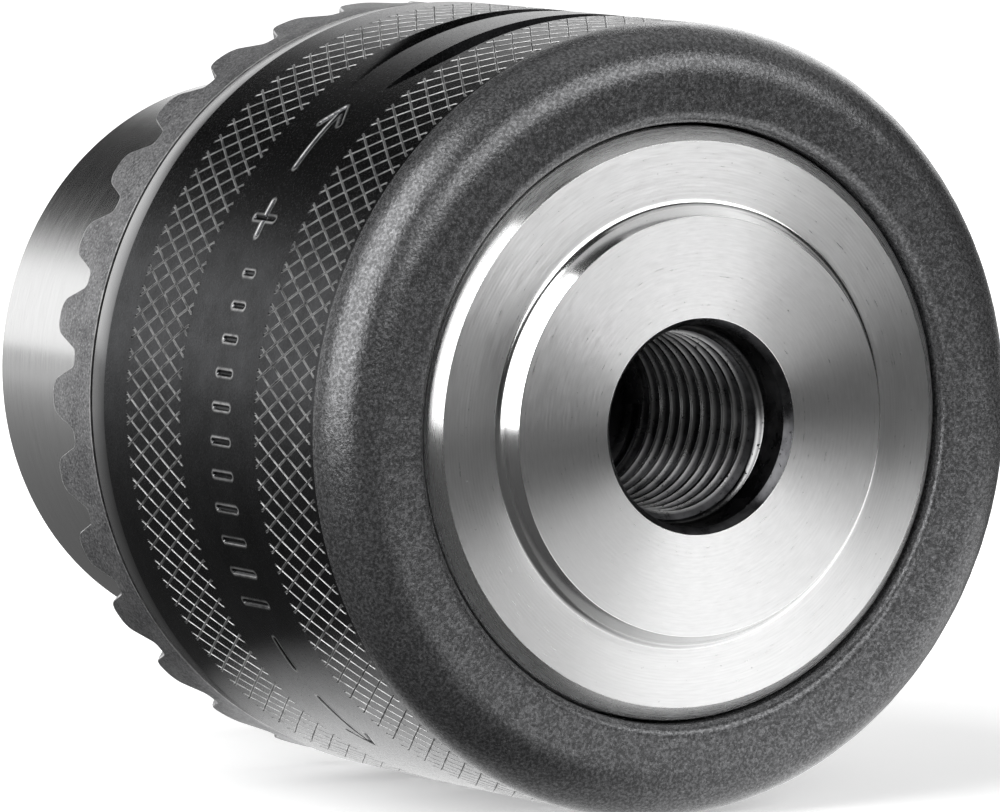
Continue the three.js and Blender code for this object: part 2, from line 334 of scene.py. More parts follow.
def rounded(corners, closed=True):
    """An outline of (x, y, corner radius) corners, with each corner's round stretch as an arc."""
    count = len(corners)
    outline = []
    for i, (x, y, radius) in enumerate(corners):
        if radius == 0 or (not closed and i in (0, count - 1)):
            outline.append((x, y))
            continue
        corner = np.array([x, y])
        before = np.array(corners[i - 1][:2]) - corner
        after = np.array(corners[(i + 1) % count][:2]) - corner
        before = before / np.linalg.norm(before)
        after = after / np.linalg.norm(after)
        half = math.acos(np.clip(before @ after, -1, 1)) / 2
        to_centre = (before + after) / np.linalg.norm(before + after)
        centre = corner + to_centre * radius / math.sin(half)
        start = corner + before * radius / math.tan(half) - centre
        end = corner + after * radius / math.tan(half) - centre
        sweep = math.atan2(start[0] * end[1] - start[1] * end[0], start @ end)
        steps = max(2, math.ceil(abs(sweep) * math.sqrt(radius) * 5))
        for k in range(steps + 1):
            cos, sin = math.cos(sweep * k / steps), math.sin(sweep * k / steps)
            turned = (start[0] * cos - start[1] * sin, start[0] * sin + start[1] * cos)
            outline.append(tuple(centre + turned))
    return outline


def turned_mesh(name, corners, columns=BODY_COLUMNS):
    """A solid of revolution from a closed outline of (radius, y, corner radius) corners."""
    surface = Surface()
    angles = full_circle(columns)
    rings = [surface.ring(angles, radius, y) for radius, y in rounded(corners)]
    surface.bridge_all(rings + rings[:1])
    return surface.mesh(name)


def add_object(name, mesh):
    piece = bpy.data.objects.new(name, mesh)
    bpy.context.scene.collection.objects.link(piece)
    return piece


def apply_modifiers(piece):
    """Gives a piece the mesh that its modifiers make."""
    graph = bpy.context.evaluated_depsgraph_get()
    result = bpy.data.meshes.new_from_object(piece.evaluated_get(graph))
    piece.modifiers.clear()
    piece.data = result


def cut(piece, cutters):
    """Cuts closed meshes out of a piece. The result is the piece's own mesh."""
    for mesh in cutters:
        cutter = add_object("cutter", mesh)
        modifier = piece.modifiers.new("cut", "BOOLEAN")
        modifier.operation = "DIFFERENCE"
        modifier.solver = "EXACT"
        modifier.object = cutter
        apply_modifiers(piece)
        bpy.data.objects.remove(cutter)


def shade(mesh, degrees=32):
    """Smooth shading, broken at edges that turn by more than the given angle."""
    work = bmesh.new()
    work.from_mesh(mesh)
    limit = math.radians(degrees)
    for face in work.faces:
        face.smooth = True
    for edge in work.edges:
        edge.smooth = len(edge.link_faces) == 2 and edge.calc_face_angle(0) < limit
    work.to_mesh(mesh)
    work.free()


def smooth_piece(name, mesh, degrees=32):
    piece = add_object(name + "_fine", mesh)
    shade(piece.data, degrees)
    return piece


def weight_shading(piece):
    """Lets large faces decide the shading at shared corners, so that flats stay flat up to rounded edges."""
    modifier = piece.modifiers.new("weights", "WEIGHTED_NORMAL")
    modifier.keep_sharp = True
    apply_modifiers(piece)


def vertex_places(mesh):
    coords = np.empty(len(mesh.vertices) * 3)
    mesh.vertices.foreach_get("co", coords)
    return coords.reshape(-1, 3)


def shade_as_cylinder(mesh, chosen):
    """Gives the chosen faces the normals of a cylinder about the chuck's axis. The others keep theirs."""
    vertex_of_corner = np.empty(len(mesh.loops), int)
    mesh.loops.foreach_get("vertex_index", vertex_of_corner)
    outward = vertex_places(mesh)[vertex_of_corner] * (1, 0, 1)
    outward /= np.maximum(np.linalg.norm(outward, axis=1, keepdims=True), 1e-9)
    sizes = np.empty(len(mesh.polygons), int)
    mesh.polygons.foreach_get("loop_total", sizes)
    outward[~np.repeat(np.array(chosen), sizes)] = 0
    mesh.normals_split_custom_set(outward.tolist())


def about_axis(mesh, degrees):
    """Turns a mesh about the chuck's axis, from +X towards +Z."""
    angle = math.radians(degrees)
    coords = vertex_places(mesh)
    x, z = coords[:, 0].copy(), coords[:, 2].copy()
    coords[:, 0] = x * math.cos(angle) - z * math.sin(angle)
    coords[:, 2] = x * math.sin(angle) + z * math.cos(angle)
    mesh.vertices.foreach_set("co", coords.ravel())
    mesh.update()
    return mesh


def bar_mesh(name, stations, columns=72):
    """A closed round bar through (centre x, centre y, radius) stations on a straight line in the XY plane."""
    first, last = np.array(stations[0][:2]), np.array(stations[-1][:2])
    along = (last - first) / np.linalg.norm(last - first)
    side = np.array([along[1], -along[0], 0.0])
    surface = Surface()
    angles = full_circle(columns)
    spokes = np.outer(np.cos(angles), side) + np.outer(np.sin(angles), (0, 0, 1))
    rings = [surface.loop(np.array((x, y, 0)) + radius * spokes, angles) for x, y, radius in stations]
    surface.close_bar(rings)
    return surface.mesh(name)


def jaw_axis_radius(y):
    """Distance from the chuck's axis to a jaw's own axis, with the jaws open."""
    return JAW_AXIS_RADIUS_AT_TIP + (JAW_TIP_Y - y) * math.tan(JAW_ANGLE)


def jaw_outer_radius(y):
    """Distance from the chuck's axis to the outermost line of a jaw, with the jaws open."""
    return jaw_axis_radius(y) + JAW_RADIUS / math.cos(JAW_ANGLE)


# ---------------------------------------------------------------------------
# Body
# ---------------------------------------------------------------------------

BODY_FACE, BODY_BORE, BODY_NOSE, BODY_WALL, BODY_BEVEL = 0, 1, 2, 3, 4


def spindle_thread(surface, start, end):
    """The bore's 60 degree thread between two rings, on rows that follow its helix.

    The part of the first turn that would start before the lead-in cone is squeezed flat against its edge.
    """
    angles = start["angles"]
    crest, root = THREAD_PITCH / 4, THREAD_PITCH / 8
    flank = (THREAD_PITCH - crest - root) / 2
    depth = THREAD_ROOT_RADIUS - THREAD_CREST_RADIUS
    form = [
        (0, THREAD_CREST_RADIUS, 1.0),
        (crest / 2, THREAD_CREST_RADIUS, 0.2),
        (crest, THREAD_CREST_RADIUS, 1.0),
        (crest + flank / 3, THREAD_CREST_RADIUS + depth / 3, 0.0),
        (crest + flank * 2 / 3, THREAD_ROOT_RADIUS - depth / 3, 0.0),
        (crest + flank, THREAD_ROOT_RADIUS, 0.0),
        (crest + flank + root, THREAD_ROOT_RADIUS, 0.0),
        (crest + flank * 4 / 3 + root, THREAD_ROOT_RADIUS - depth / 3, 0.0),
        (crest + flank * 5 / 3 + root, THREAD_CREST_RADIUS + depth / 3, 0.0),
    ]
    per_turn = len(form)
    turns = int((THREAD_END_Y - THREAD_START_Y) / THREAD_PITCH)
    rows = []
    for k in range(turns * per_turn + 1):
        offset, radius, wear = form[k % per_turn]
        y = THREAD_START_Y + THREAD_PITCH * (k // per_turn - 1 + angles / TURN) + offset
        y = np.maximum(y, THREAD_START_Y + (y - THREAD_START_Y) * SQUEEZE)
        lead_in = LEAD_IN_RADIUS - (y - THREAD_START_Y) * LEAD_IN_SLOPE
        fade = np.clip((THREAD_END_Y - THREAD_PITCH - y) / THREAD_PITCH, 0, 1)
        faded = THREAD_CREST_RADIUS + (radius - THREAD_CREST_RADIUS) * fade
        rows.append(surface.ring(angles, np.maximum(faded, lead_in), y, wear)["at"])
    for k in range(len(rows) - 1):
        row, above = rows[k], rows[k + 1]
        surface.add_faces(np.stack([row[:-1], row[1:], above[1:], above[:-1]], axis=1))
        if k + per_turn + 1 < len(rows):
            across = (rows[k + per_turn][0], rows[k + per_turn + 1][0])
            surface.add_faces([(row[-1], across[0], across[1], above[-1])])
    down_the_seam = [rows[k][0] for k in range(per_turn, 0, -1)]
    low_edge = np.concatenate([rows[0], down_the_seam])
    surface.bridge(start, {"at": low_edge, "angles": np.append(angles, np.full(per_turn, TURN))})
    back_down = [rows[k][-1] for k in range(len(rows) - 2, len(rows) - per_turn - 2, -1)]
    high_edge = np.concatenate([rows[-1], back_down])
    surface.bridge({"at": high_edge, "angles": np.append(angles, np.full(per_turn, angles[-1]))}, end)


def body_finish(start, end):
    """The finish of the part of the body between two (radius, y) points of its outline."""
    radius, y = end
    if radius < MOUTH_RADIUS - 0.1 and y < BORE_BOTTOM_Y + 1:
        return BODY_BORE
    if y > GROOVE_REAR_Y:
        return BODY_NOSE
    is_flat = abs(end[1] - start[1]) < abs(end[0] - start[0]) * 0.2
    if is_flat:
        return BODY_FACE
    return BODY_BEVEL if radius > FLANGE_FACE_RADIUS - 0.1 else BODY_WALL


def body_blank():
    surface = Surface()
    angles = full_circle(BODY_COLUMNS)
    front = [
        (THREAD_CREST_RADIUS, BORE_BOTTOM_Y, 0),
        (SCREW_PASSAGE_RADIUS, BORE_BOTTOM_Y, 0),
        (SCREW_PASSAGE_RADIUS, TOOL_BORE_CONE_Y, 0.1),
        (TOOL_BORE_RADIUS, TOOL_BORE_Y, 0.3),
        (TOOL_BORE_RADIUS, NOSE_FRONT_Y - TOOL_BORE_CHAMFER, 0.1),
        (TOOL_BORE_RADIUS + TOOL_BORE_CHAMFER, NOSE_FRONT_Y, 0.1),
        (NOSE_RADIUS - NOSE_EDGE, NOSE_FRONT_Y, 0.2),
        (NOSE_RADIUS, NOSE_FRONT_Y - NOSE_EDGE, 0.2),
        (NOSE_RADIUS, GROOVE_FRONT_Y, 0.2),
        (GROOVE_RADIUS, GROOVE_FRONT_Y, 0.3),
        (GROOVE_RADIUS, GROOVE_REAR_Y, 0.3),
        (COLLAR_RADIUS, GROOVE_REAR_Y, 0.2),
        (COLLAR_RADIUS, COLLAR_REAR_Y, 0.4),
        (NOSE_RADIUS, COLLAR_REAR_Y, 0.3),
        (NOSE_RADIUS, FLANGE_BEVEL_END_Y, 0.2),
        (FLANGE_FACE_RADIUS, FLANGE_FACE_Y, 0.06),
        (BOSS_FOOT_RADIUS, FLANGE_FACE_Y, 0.7),
        (BOSS_RADIUS, 0, 0.06),
        (MOUTH_RADIUS, 0, 0.05),
        (COUNTERBORE_RADIUS, MOUTH_BEVEL_END_Y, 0.05),
        (COUNTERBORE_RADIUS, COUNTERBORE_Y, 0.2),
        (LEAD_IN_RADIUS, THREAD_START_Y - THREAD_PITCH * SQUEEZE * 1.2, 0),
    ]
    outline = rounded(front, closed=False)
    rings = [surface.ring(angles, radius, y) for radius, y in outline]
    for start, end, first, second in zip(outline, outline[1:], rings, rings[1:]):
        surface.finish = body_finish(start, end)
        surface.bridge(first, second)
    surface.finish = BODY_BORE
    spindle_thread(surface, rings[-1], rings[0])
    return surface.mesh("chuck_body")


def jaw_bore_cutter(degrees):
    radius = JAW_RADIUS + JAW_BORE_CLEARANCE
    ends = (JAW_BORE_REAR_Y, NOSE_FRONT_Y + CUT_OVERRUN)
    return about_axis(bar_mesh("bore", [(jaw_axis_radius(y), y, radius) for y in ends]), degrees)


def key_hole_cutter(degrees):
    """A blind radial hole with a chamfered mouth and a tapered bottom, as a drill leaves it."""
    chamfer = KEY_HOLE_RADIUS + KEY_HOLE_CHAMFER
    sag = NOSE_RADIUS - math.sqrt(NOSE_RADIUS**2 - chamfer**2)
    outline = [
        (KEY_HOLE_BOTTOM_RADIUS, KEY_HOLE_RADIUS * KEY_HOLE_TIP_SHARE),
        (KEY_HOLE_BOTTOM_RADIUS + KEY_HOLE_TIP_DEPTH, KEY_HOLE_RADIUS),
        (NOSE_RADIUS - sag - KEY_HOLE_CHAMFER_DEPTH, KEY_HOLE_RADIUS),
        (NOSE_RADIUS + 1, KEY_HOLE_RADIUS + KEY_HOLE_CHAMFER_DEPTH + sag + 1),
    ]
    return about_axis(bar_mesh("key_hole", [(x, KEY_HOLE_Y, radius) for x, radius in outline]), degrees)


def body_piece():
    piece = add_object("chuck_body_fine", body_blank())
    cutters = [jaw_bore_cutter(degrees) for degrees in JAW_DEGREES.values()]
    cutters += [key_hole_cutter(degrees) for degrees in KEY_HOLE_DEGREES]
    cut(piece, cutters)
    shade(piece.data)
    weight_shading(piece)
    return piece


# ---------------------------------------------------------------------------
# Sleeve
# ---------------------------------------------------------------------------

SLEEVE_BLACK, SLEEVE_FORGED, SLEEVE_GEAR, SLEEVE_BEVEL = 0, 1, 2, 3


def inset_polygon(points, offsets):
    """A convex polygon's corners after each edge moves in by its own offset. Edge k starts at corner k."""
    count = len(points)
    lines = []
    for k in range(count):
        start, end = np.array(points[k]), np.array(points[(k + 1) % count])
        direction = (end - start) / np.linalg.norm(end - start)
        inward = np.array([-direction[1], direction[0]])
        lines.append((start + inward * offsets[k], direction))
    corners = []
    for k in range(count):
        (p, u), (q, v) = lines[k - 1], lines[k]
        across = u[0] * v[1] - u[1] * v[0]
        step = ((q - p)[0] * v[1] - (q - p)[1] * v[0]) / across
        corners.append(tuple(p + u * step))
    return corners


class KnurledBand:
    """Crossing grooves rolled into the sleeve. `low` and `high` are the rings along the band's edges."""

    def __init__(self, surface, low_y, seed):
        self.surface = surface
        self.low_y = low_y
        self.random = random.Random(seed)
        self.groove_points = {}
        self.edges = {"low": [], "high": []}
        last = KNURL_LAST_ROW
        for i in range(KNURL_STARTS):
            for row in range(last + 1):
                self.cell(i, row)
            self.triangle(i, 0, -1)
            self.triangle(i + (last % 2) / 2, last, 1)
        self.low = self.edge_ring("low")
        self.high = self.edge_ring("high")

    def place(self, across, row):
        """Millimetres around the sleeve and along it, from a place counted in cells."""
        x = across * TURN * SLEEVE_RADIUS / KNURL_STARTS
        return x, self.low_y + (row + KNURL_RUN_OUT) * KNURL_ROW_HEIGHT

    def point(self, x, y, height, wear):
        angle = x / SLEEVE_RADIUS
        radius = SLEEVE_RADIUS + height
        return self.surface.add([(radius * math.cos(angle), y, radius * math.sin(angle))], wear)[0]

    def groove_point(self, across, row):
        """The groove's bottom at a crossing or at its end, shared by the cells around it, with its (x, y)."""
        key = (round(across * 10) % (KNURL_STARTS * 10), round(row * 10))
        if key not in self.groove_points:
            at_end = row < 0 or row > KNURL_LAST_ROW
            jitter = 0 if at_end else KNURL_JITTER
            shift = [self.random.uniform(-jitter, jitter) for _ in range(2)]
            depth = KNURL_DEPTH * self.random.uniform(0.8, 1.15)
            x, y = self.place(across % KNURL_STARTS, row)
            self.groove_points[key] = (self.point(x + shift[0], y + shift[1], -depth, 0.5), shift)
        index, shift = self.groove_points[key]
        x, y = self.place(across, row)
        return index, (x + shift[0], y + shift[1])

    def add_cell(self, corners, open_edge, side):
        """One raised cell inside its corners. `open_edge` lies on the band's edge and has no groove."""
        found = [self.groove_point(across, row) for across, row in corners]
        outer = [index for index, _ in found]
        points = [place for _, place in found]
        levels = [outer]
        for offset, height, wear in ((KNURL_BURR_OFFSET, KNURL_BURR, 1.0), (KNURL_FLAT_OFFSET, 0.0, 0.0)):
            offsets = [0 if k == open_edge else offset for k in range(len(points))]
            inner = inset_polygon(points, offsets)
            levels.append([self.point(x, y, height, wear) for x, y in inner])
        surface = self.surface
        surface.round_shading = False
        for lower, upper in zip(levels, levels[1:]):
            for k in range(len(points)):
                if k != open_edge:
                    following = (k + 1) % len(points)
                    surface.add_faces([(lower[k], lower[following], upper[following], upper[k])])
        surface.round_shading = True
        surface.add_faces([levels[-1]])
        surface.round_shading = False
        if open_edge is not None:
            start, end = open_edge, (open_edge + 1) % len(points)
            chain = [level[start] for level in levels] + [level[end] for level in reversed(levels)]
            if side == "high":
                chain.reverse()
            self.edges[side].append((min(points[start][0], points[end][0]), chain))

    def cell(self, i, row):
        left = i + (row % 2) / 2
        run = KNURL_RUN_OUT
        corners = [(left, row), (left + 0.5, row - 1), (left + 1, row), (left + 0.5, row + 1)]
        if row == 0:
            corners[1:2] = [(left + run / 2, -run), (left + 1 - run / 2, -run)]
            self.add_cell(corners, 1, "low")
        elif row == KNURL_LAST_ROW:
            end = row + run
            corners[3:4] = [(left + 1 - run / 2, end), (left + run / 2, end)]
            self.add_cell(corners, 3, "high")
        else:
            self.add_cell(corners, None, None)

    def triangle(self, across, row, step):
        """The small triangle between two grooves that run out past their last crossing."""
        end = row + step * KNURL_RUN_OUT
        half = KNURL_RUN_OUT / 2
        if step < 0:
            self.add_cell([(across, row), (across - half, end), (across + half, end)], 1, "low")
        else:
            self.add_cell([(across, row), (across + half, end), (across - half, end)], 1, "high")

    def edge_ring(self, side):
        """The ring along one edge of the band, from the ends of its cells in order round the sleeve."""
        indices = []
        for _, chain in sorted(self.edges[side], key=lambda entry: entry[0]):
            indices.extend(chain[:-1])
        at = np.array(indices)
        points = np.array([self.surface.points[i] for i in at])
        angles = np.unwrap(np.arctan2(points[:, 2], points[:, 0]))
        return {"at": at, "angles": angles}


def knurled_rings(surface, low_y, seed):
    """A knurled band and the short run-out on either side. Returns its outermost rings."""
    band = KnurledBand(surface, low_y, seed)
    ends = []
    for ring, y in ((band.low, low_y - FADE), (band.high, low_y + KNURL_BAND_HEIGHT + FADE)):
        run_out = surface.ring(ring["angles"], SLEEVE_RADIUS, y)
        surface.bridge(ring, run_out)
        ends.append(run_out)
    return ends


def arrow(at, direction):
    """A straight arrow along the marks' line, pointing one way round."""
    tip = at + ARROW_HALF_LENGTH * direction
    tail = at - ARROW_HALF_LENGTH * direction
    barb = tip - ARROW_BARB * direction
    return [((tail, 0), (tip, 0)), ((tip, 0), (barb, SIGN_REACH)), ((tip, 0), (barb, -SIGN_REACH))]


def minus(at):
    return [((at - SIGN_REACH, 0), (at + SIGN_REACH, 0))]


def plus(at):
    return minus(at) + [((at, -SIGN_REACH), (at, SIGN_REACH))]


def growing_ticks(start, step, count):
    """A row of cross strokes on one base line, each longer than the one before."""
    base = -SYMBOL_HEIGHT / 2
    ticks = []
    for k in range(count):
        top = base + SYMBOL_HEIGHT * (0.35 + 0.65 * k / (count - 1))
        ticks.append(((start + k * step, base), (start + k * step, top)))
    return ticks


def mark_strokes():
    """All the strokes, as (around, along) ends in millimetres from the middle of the marks."""
    strokes = arrow(-21.5, -1) + plus(-15)
    strokes += growing_ticks(-11.2, 2.2, 11)
    strokes += minus(14.8) + arrow(21.3, 1)
    return strokes


def stroke_height(distance):
    """Height of the surface at a distance from a stroke's middle: flat bottom, sloping wall, raised lip."""
    half = STROKE_WIDTH / 2
    wall = np.clip((distance - half + STROKE_WALL) / STROKE_WALL, 0, 1)
    beyond = (distance - half) / (2 * STROKE_WALL)
    lip = STROKE_LIP * np.clip(1 - np.abs(beyond - 0.3) / 0.7, 0, 1)
    return -STROKE_DEPTH * (1 - wall) + lip


def marks_rings(surface):
    """The strip that holds the stamped marks: a fine grid over the marks and wider columns elsewhere."""
    across = np.arange(-MARKS_LENGTH / 2, MARKS_LENGTH / 2, MARKS_GRID)
    fine = MARKS_CENTRE_ANGLE + across / SLEEVE_RADIUS
    rest = np.linspace(fine[-1], fine[0] + TURN, PLAIN_COLUMNS // 2)[1:-1]
    angles = np.append(fine, rest)
    heights = np.arange(-MARKS_HEIGHT / 2, MARKS_HEIGHT / 2 + MARKS_GRID / 2, MARKS_GRID)
    grid_x, grid_y = np.meshgrid(across, heights)
    nearest = np.full(grid_x.shape, MARKS_LENGTH)
    for (x0, y0), (x1, y1) in mark_strokes():
        length_squared = (x1 - x0) ** 2 + (y1 - y0) ** 2
        share = np.clip(((grid_x - x0) * (x1 - x0) + (grid_y - y0) * (y1 - y0)) / length_squared, 0, 1)
        away = np.hypot(grid_x - x0 - share * (x1 - x0), grid_y - y0 - share * (y1 - y0))
        nearest = np.minimum(nearest, away)
    lift = stroke_height(nearest)
    lift[0] = lift[-1] = 0
    lift[:, 0] = lift[:, -1] = 0
    wear = np.clip(lift / STROKE_LIP, 0, 1)
    rings = []
    for row, height in enumerate(heights):
        radius = SLEEVE_RADIUS + np.append(lift[row], np.zeros(len(rest)))
        worn = np.append(wear[row], np.zeros(len(rest)))
        rings.append(surface.ring(angles, radius, MARKS_CENTRE_Y + height, worn))
    surface.bridge_all(rings)
    return rings[0], rings[-1]


def tooth_line():
    """Angles round the gear rim, and the rim's height at each: rounded teeth of equal pitch."""
    pitch = TURN * RIM_RADIUS / TOOTH_COUNT
    half_tip, half_root = TOOTH_SPACE_TIP_WIDTH / 2, TOOTH_SPACE_ROOT_WIDTH / 2
    one_space = rounded(
        [
            (-pitch / 2, TOOTH_TIP_Y, 0),
            (-half_tip, TOOTH_TIP_Y, TOOTH_TIP_ROUND),
            (-half_root, TOOTH_ROOT_Y, TOOTH_ROOT_ROUND),
            (half_root, TOOTH_ROOT_Y, TOOTH_ROOT_ROUND),
            (half_tip, TOOTH_TIP_Y, TOOTH_TIP_ROUND),
            (pitch / 2, TOOTH_TIP_Y, 0),
        ],
        closed=False,
    )[:-1]
    first = math.radians(FIRST_SPACE_DEGREES)
    starts = [first + TURN * k / TOOTH_COUNT for k in range(TOOTH_COUNT)]
    angles = [start + x / RIM_RADIUS for start in starts for x, _ in one_space]
    heights = [y for _, y in one_space] * TOOTH_COUNT
    return np.array(angles), np.array(heights)


def gear_rings(surface):
    """The toothed rim, whose teeth all point at one place on the chuck's axis."""
    angles, rim_y = tooth_line()

    def towards_apex(radius):
        return KEY_HOLE_Y - (KEY_HOLE_Y - rim_y) * radius / RIM_RADIUS

    inner, edge = NUT_SEAT_RADIUS, TOOTH_EDGE
    bottom_y = FRONT_BEVEL_END_Y + RIM_GROOVE_WIDTH
    rings = [
        surface.ring(angles, inner, NUT_SEAT_SEAM_Y + 1),
        surface.ring(angles, inner, towards_apex(inner) - edge),
        surface.ring(angles, inner + edge, towards_apex(inner + edge)),
        surface.ring(angles, RIM_RADIUS - 2 * edge, towards_apex(RIM_RADIUS - 2 * edge)),
        surface.ring(angles, RIM_RADIUS - edge, towards_apex(RIM_RADIUS - edge), 0.8),
        surface.ring(angles, RIM_RADIUS, rim_y - edge, 0.8),
        surface.ring(angles, RIM_RADIUS, rim_y - 2 * edge),
        surface.ring(angles, RIM_RADIUS, bottom_y + 0.12),
        surface.ring(angles, RIM_RADIUS - EDGE_BREAK, bottom_y, 1.0),
    ]
    surface.bridge_all(rings)
    return rings[0], rings[-1]


def forged_rings(surface):
    """The rounded rear corner and the flat rear face, with the slight unevenness of a forging."""
    flat = SLEEVE_RADIUS - SLEEVE_CORNER_RADIUS
    arc_steps = math.ceil(SLEEVE_CORNER_RADIUS * math.pi / 2 / RING_STEP)
    profile = []
    for k in range(arc_steps + 1):
        angle = math.pi / 2 * k / arc_steps
        radius = flat + SLEEVE_CORNER_RADIUS * math.cos(angle)
        profile.append((radius, SLEEVE_REAR_Y + SLEEVE_CORNER_RADIUS * (1 - math.sin(angle)), angle))
    face_steps = math.ceil((flat - LIP_RADIUS - LIP_EDGE) / RING_STEP)
    for k in range(1, face_steps + 1):
        profile.append((flat + (LIP_RADIUS + LIP_EDGE - flat) * k / face_steps, SLEEVE_REAR_Y, math.pi / 2))
    angles = full_circle(FORGED_COLUMNS)
    rings = []
    for step, (radius, y, tilt) in enumerate(profile):
        swell = np.zeros(len(angles))
        if 0 < step < len(profile) - 1:
            spots = [Vector((radius * math.cos(a), y, radius * math.sin(a))) for a in angles]
            swell = [0.6 * noise.noise(spot * 0.9) + 0.4 * noise.noise(spot * 2.3) for spot in spots]
            swell = np.minimum(swell, FORGED_SWELL_LIMIT) * FORGED_SWELL - FORGED_SINK
        rings.append(surface.ring(angles, radius + swell * math.cos(tilt), y - swell * math.sin(tilt)))
    surface.bridge_all(rings)
    return rings[0], rings[-1]


def plain_ring(surface, radius, y, wear=0.0):
    return surface.ring(full_circle(PLAIN_COLUMNS), radius, y, wear)


def front_bevel(surface, rim_bottom):
    """The thin groove under the gear rim and the bevel behind it. Returns the bevel's rear ring."""
    slope = (SLEEVE_RADIUS - FRONT_BEVEL_END_RADIUS) / (FRONT_BEVEL_END_Y - FRONT_BEVEL_Y)
    outline = [
        (RIM_GROOVE_RADIUS, FRONT_BEVEL_END_Y + RIM_GROOVE_WIDTH - EDGE_BREAK, 0.0),
        (RIM_GROOVE_RADIUS, FRONT_BEVEL_END_Y, 0.0),
        (FRONT_BEVEL_END_RADIUS - EDGE_BREAK, FRONT_BEVEL_END_Y, 0.7),
        (FRONT_BEVEL_END_RADIUS, FRONT_BEVEL_END_Y - 3 * EDGE_BREAK, 0.3),
        (SLEEVE_RADIUS - 0.03 * slope, FRONT_BEVEL_Y + 0.03, 0.0),
        (SLEEVE_RADIUS, FRONT_BEVEL_Y, 0.0),
    ]
    rings = [rim_bottom] + [plain_ring(surface, *point) for point in outline]
    surface.finish = SLEEVE_BLACK
    surface.bridge_all(rings[:4])
    surface.finish = SLEEVE_BEVEL
    surface.bridge_all(rings[3:])
    return rings[-1]


def rear_lip(surface, face_end):
    """The quarter-round lip of the rear opening. Returns the ring where the opening meets the cavity."""
    lip = [face_end]
    for k in range(1, LIP_STEPS + 1):
        turn = math.pi / 2 * k / LIP_STEPS
        radius = LIP_RADIUS + LIP_EDGE * (1 - math.sin(turn))
        lip.append(plain_ring(surface, radius, SLEEVE_REAR_Y + LIP_EDGE * (1 - math.cos(turn))))
    lip.append(plain_ring(surface, LIP_RADIUS, CAVITY_REAR_Y))
    surface.bridge_all(lip)
    return lip[-1]


def sleeve_inside(surface, lip_end, seat_top):
    """The cavity around the bearing and the nut ring's seat."""
    outline = [
        (CAVITY_RADIUS, CAVITY_REAR_Y),
        (CAVITY_RADIUS, CAVITY_FRONT_Y),
        (NUT_SEAT_RADIUS, NUT_SEAT_REAR_Y),
        (NUT_SEAT_RADIUS, NUT_SEAT_SEAM_Y),
    ]
    surface.bridge_all([lip_end] + [plain_ring(surface, *point) for point in outline] + [seat_top])


def sleeve_cylinder(surface, bevel_end):
    """The knurled bands, the marks' strip and the plain stretches between them. Returns the rear ring."""
    surface.finish = SLEEVE_BLACK
    rear_y, front_y = KNURL_BANDS_LOW_Y
    rear_low, rear_high = knurled_rings(surface, rear_y, seed=3)
    front_low, front_high = knurled_rings(surface, front_y, seed=4)
    marks_low, marks_high = marks_rings(surface)
    surface.round_shading = True
    stretches = (
        (bevel_end, front_y + KNURL_BAND_HEIGHT + 2 * FADE, front_high),
        (front_low, front_y - 2 * FADE, marks_high),
        (marks_low, rear_y + KNURL_BAND_HEIGHT + 2 * FADE, rear_high),
    )
    for front, y, rear in stretches:
        surface.bridge_all([front, plain_ring(surface, SLEEVE_RADIUS, y), rear])
    cylinder_end = plain_ring(surface, SLEEVE_RADIUS, SLEEVE_REAR_Y + SLEEVE_CORNER_RADIUS + FADE / 2)
    surface.bridge(rear_low, cylinder_end)
    surface.round_shading = False
    return cylinder_end


def sleeve_piece():
    surface = Surface()
    surface.finish = SLEEVE_GEAR
    seat_top, rim_bottom = gear_rings(surface)
    cylinder_end = sleeve_cylinder(surface, front_bevel(surface, rim_bottom))
    surface.finish = SLEEVE_FORGED
    corner_start, face_end = forged_rings(surface)
    surface.bridge(cylinder_end, corner_start)
    lip_end = rear_lip(surface, face_end)
    surface.finish = SLEEVE_BLACK
    sleeve_inside(surface, lip_end, seat_top)
    piece = smooth_piece("sleeve", surface.mesh("sleeve"), 30)
    shade_as_cylinder(piece.data, surface.round_faces)
    return piece


# ---------------------------------------------------------------------------
# Jaws and nut
# ---------------------------------------------------------------------------


def thread_share(y, angle, root_width, tip_width):
    """1 in the middle of the jaw and nut thread's groove, 0 outside it, and sloping flanks between."""
    turns = y / JAW_THREAD_PITCH + angle / TURN
    away = np.abs(turns - np.round(turns)) * JAW_THREAD_PITCH
    return np.clip((root_width / 2 - away) / (root_width / 2 - tip_width / 2), 0, 1)


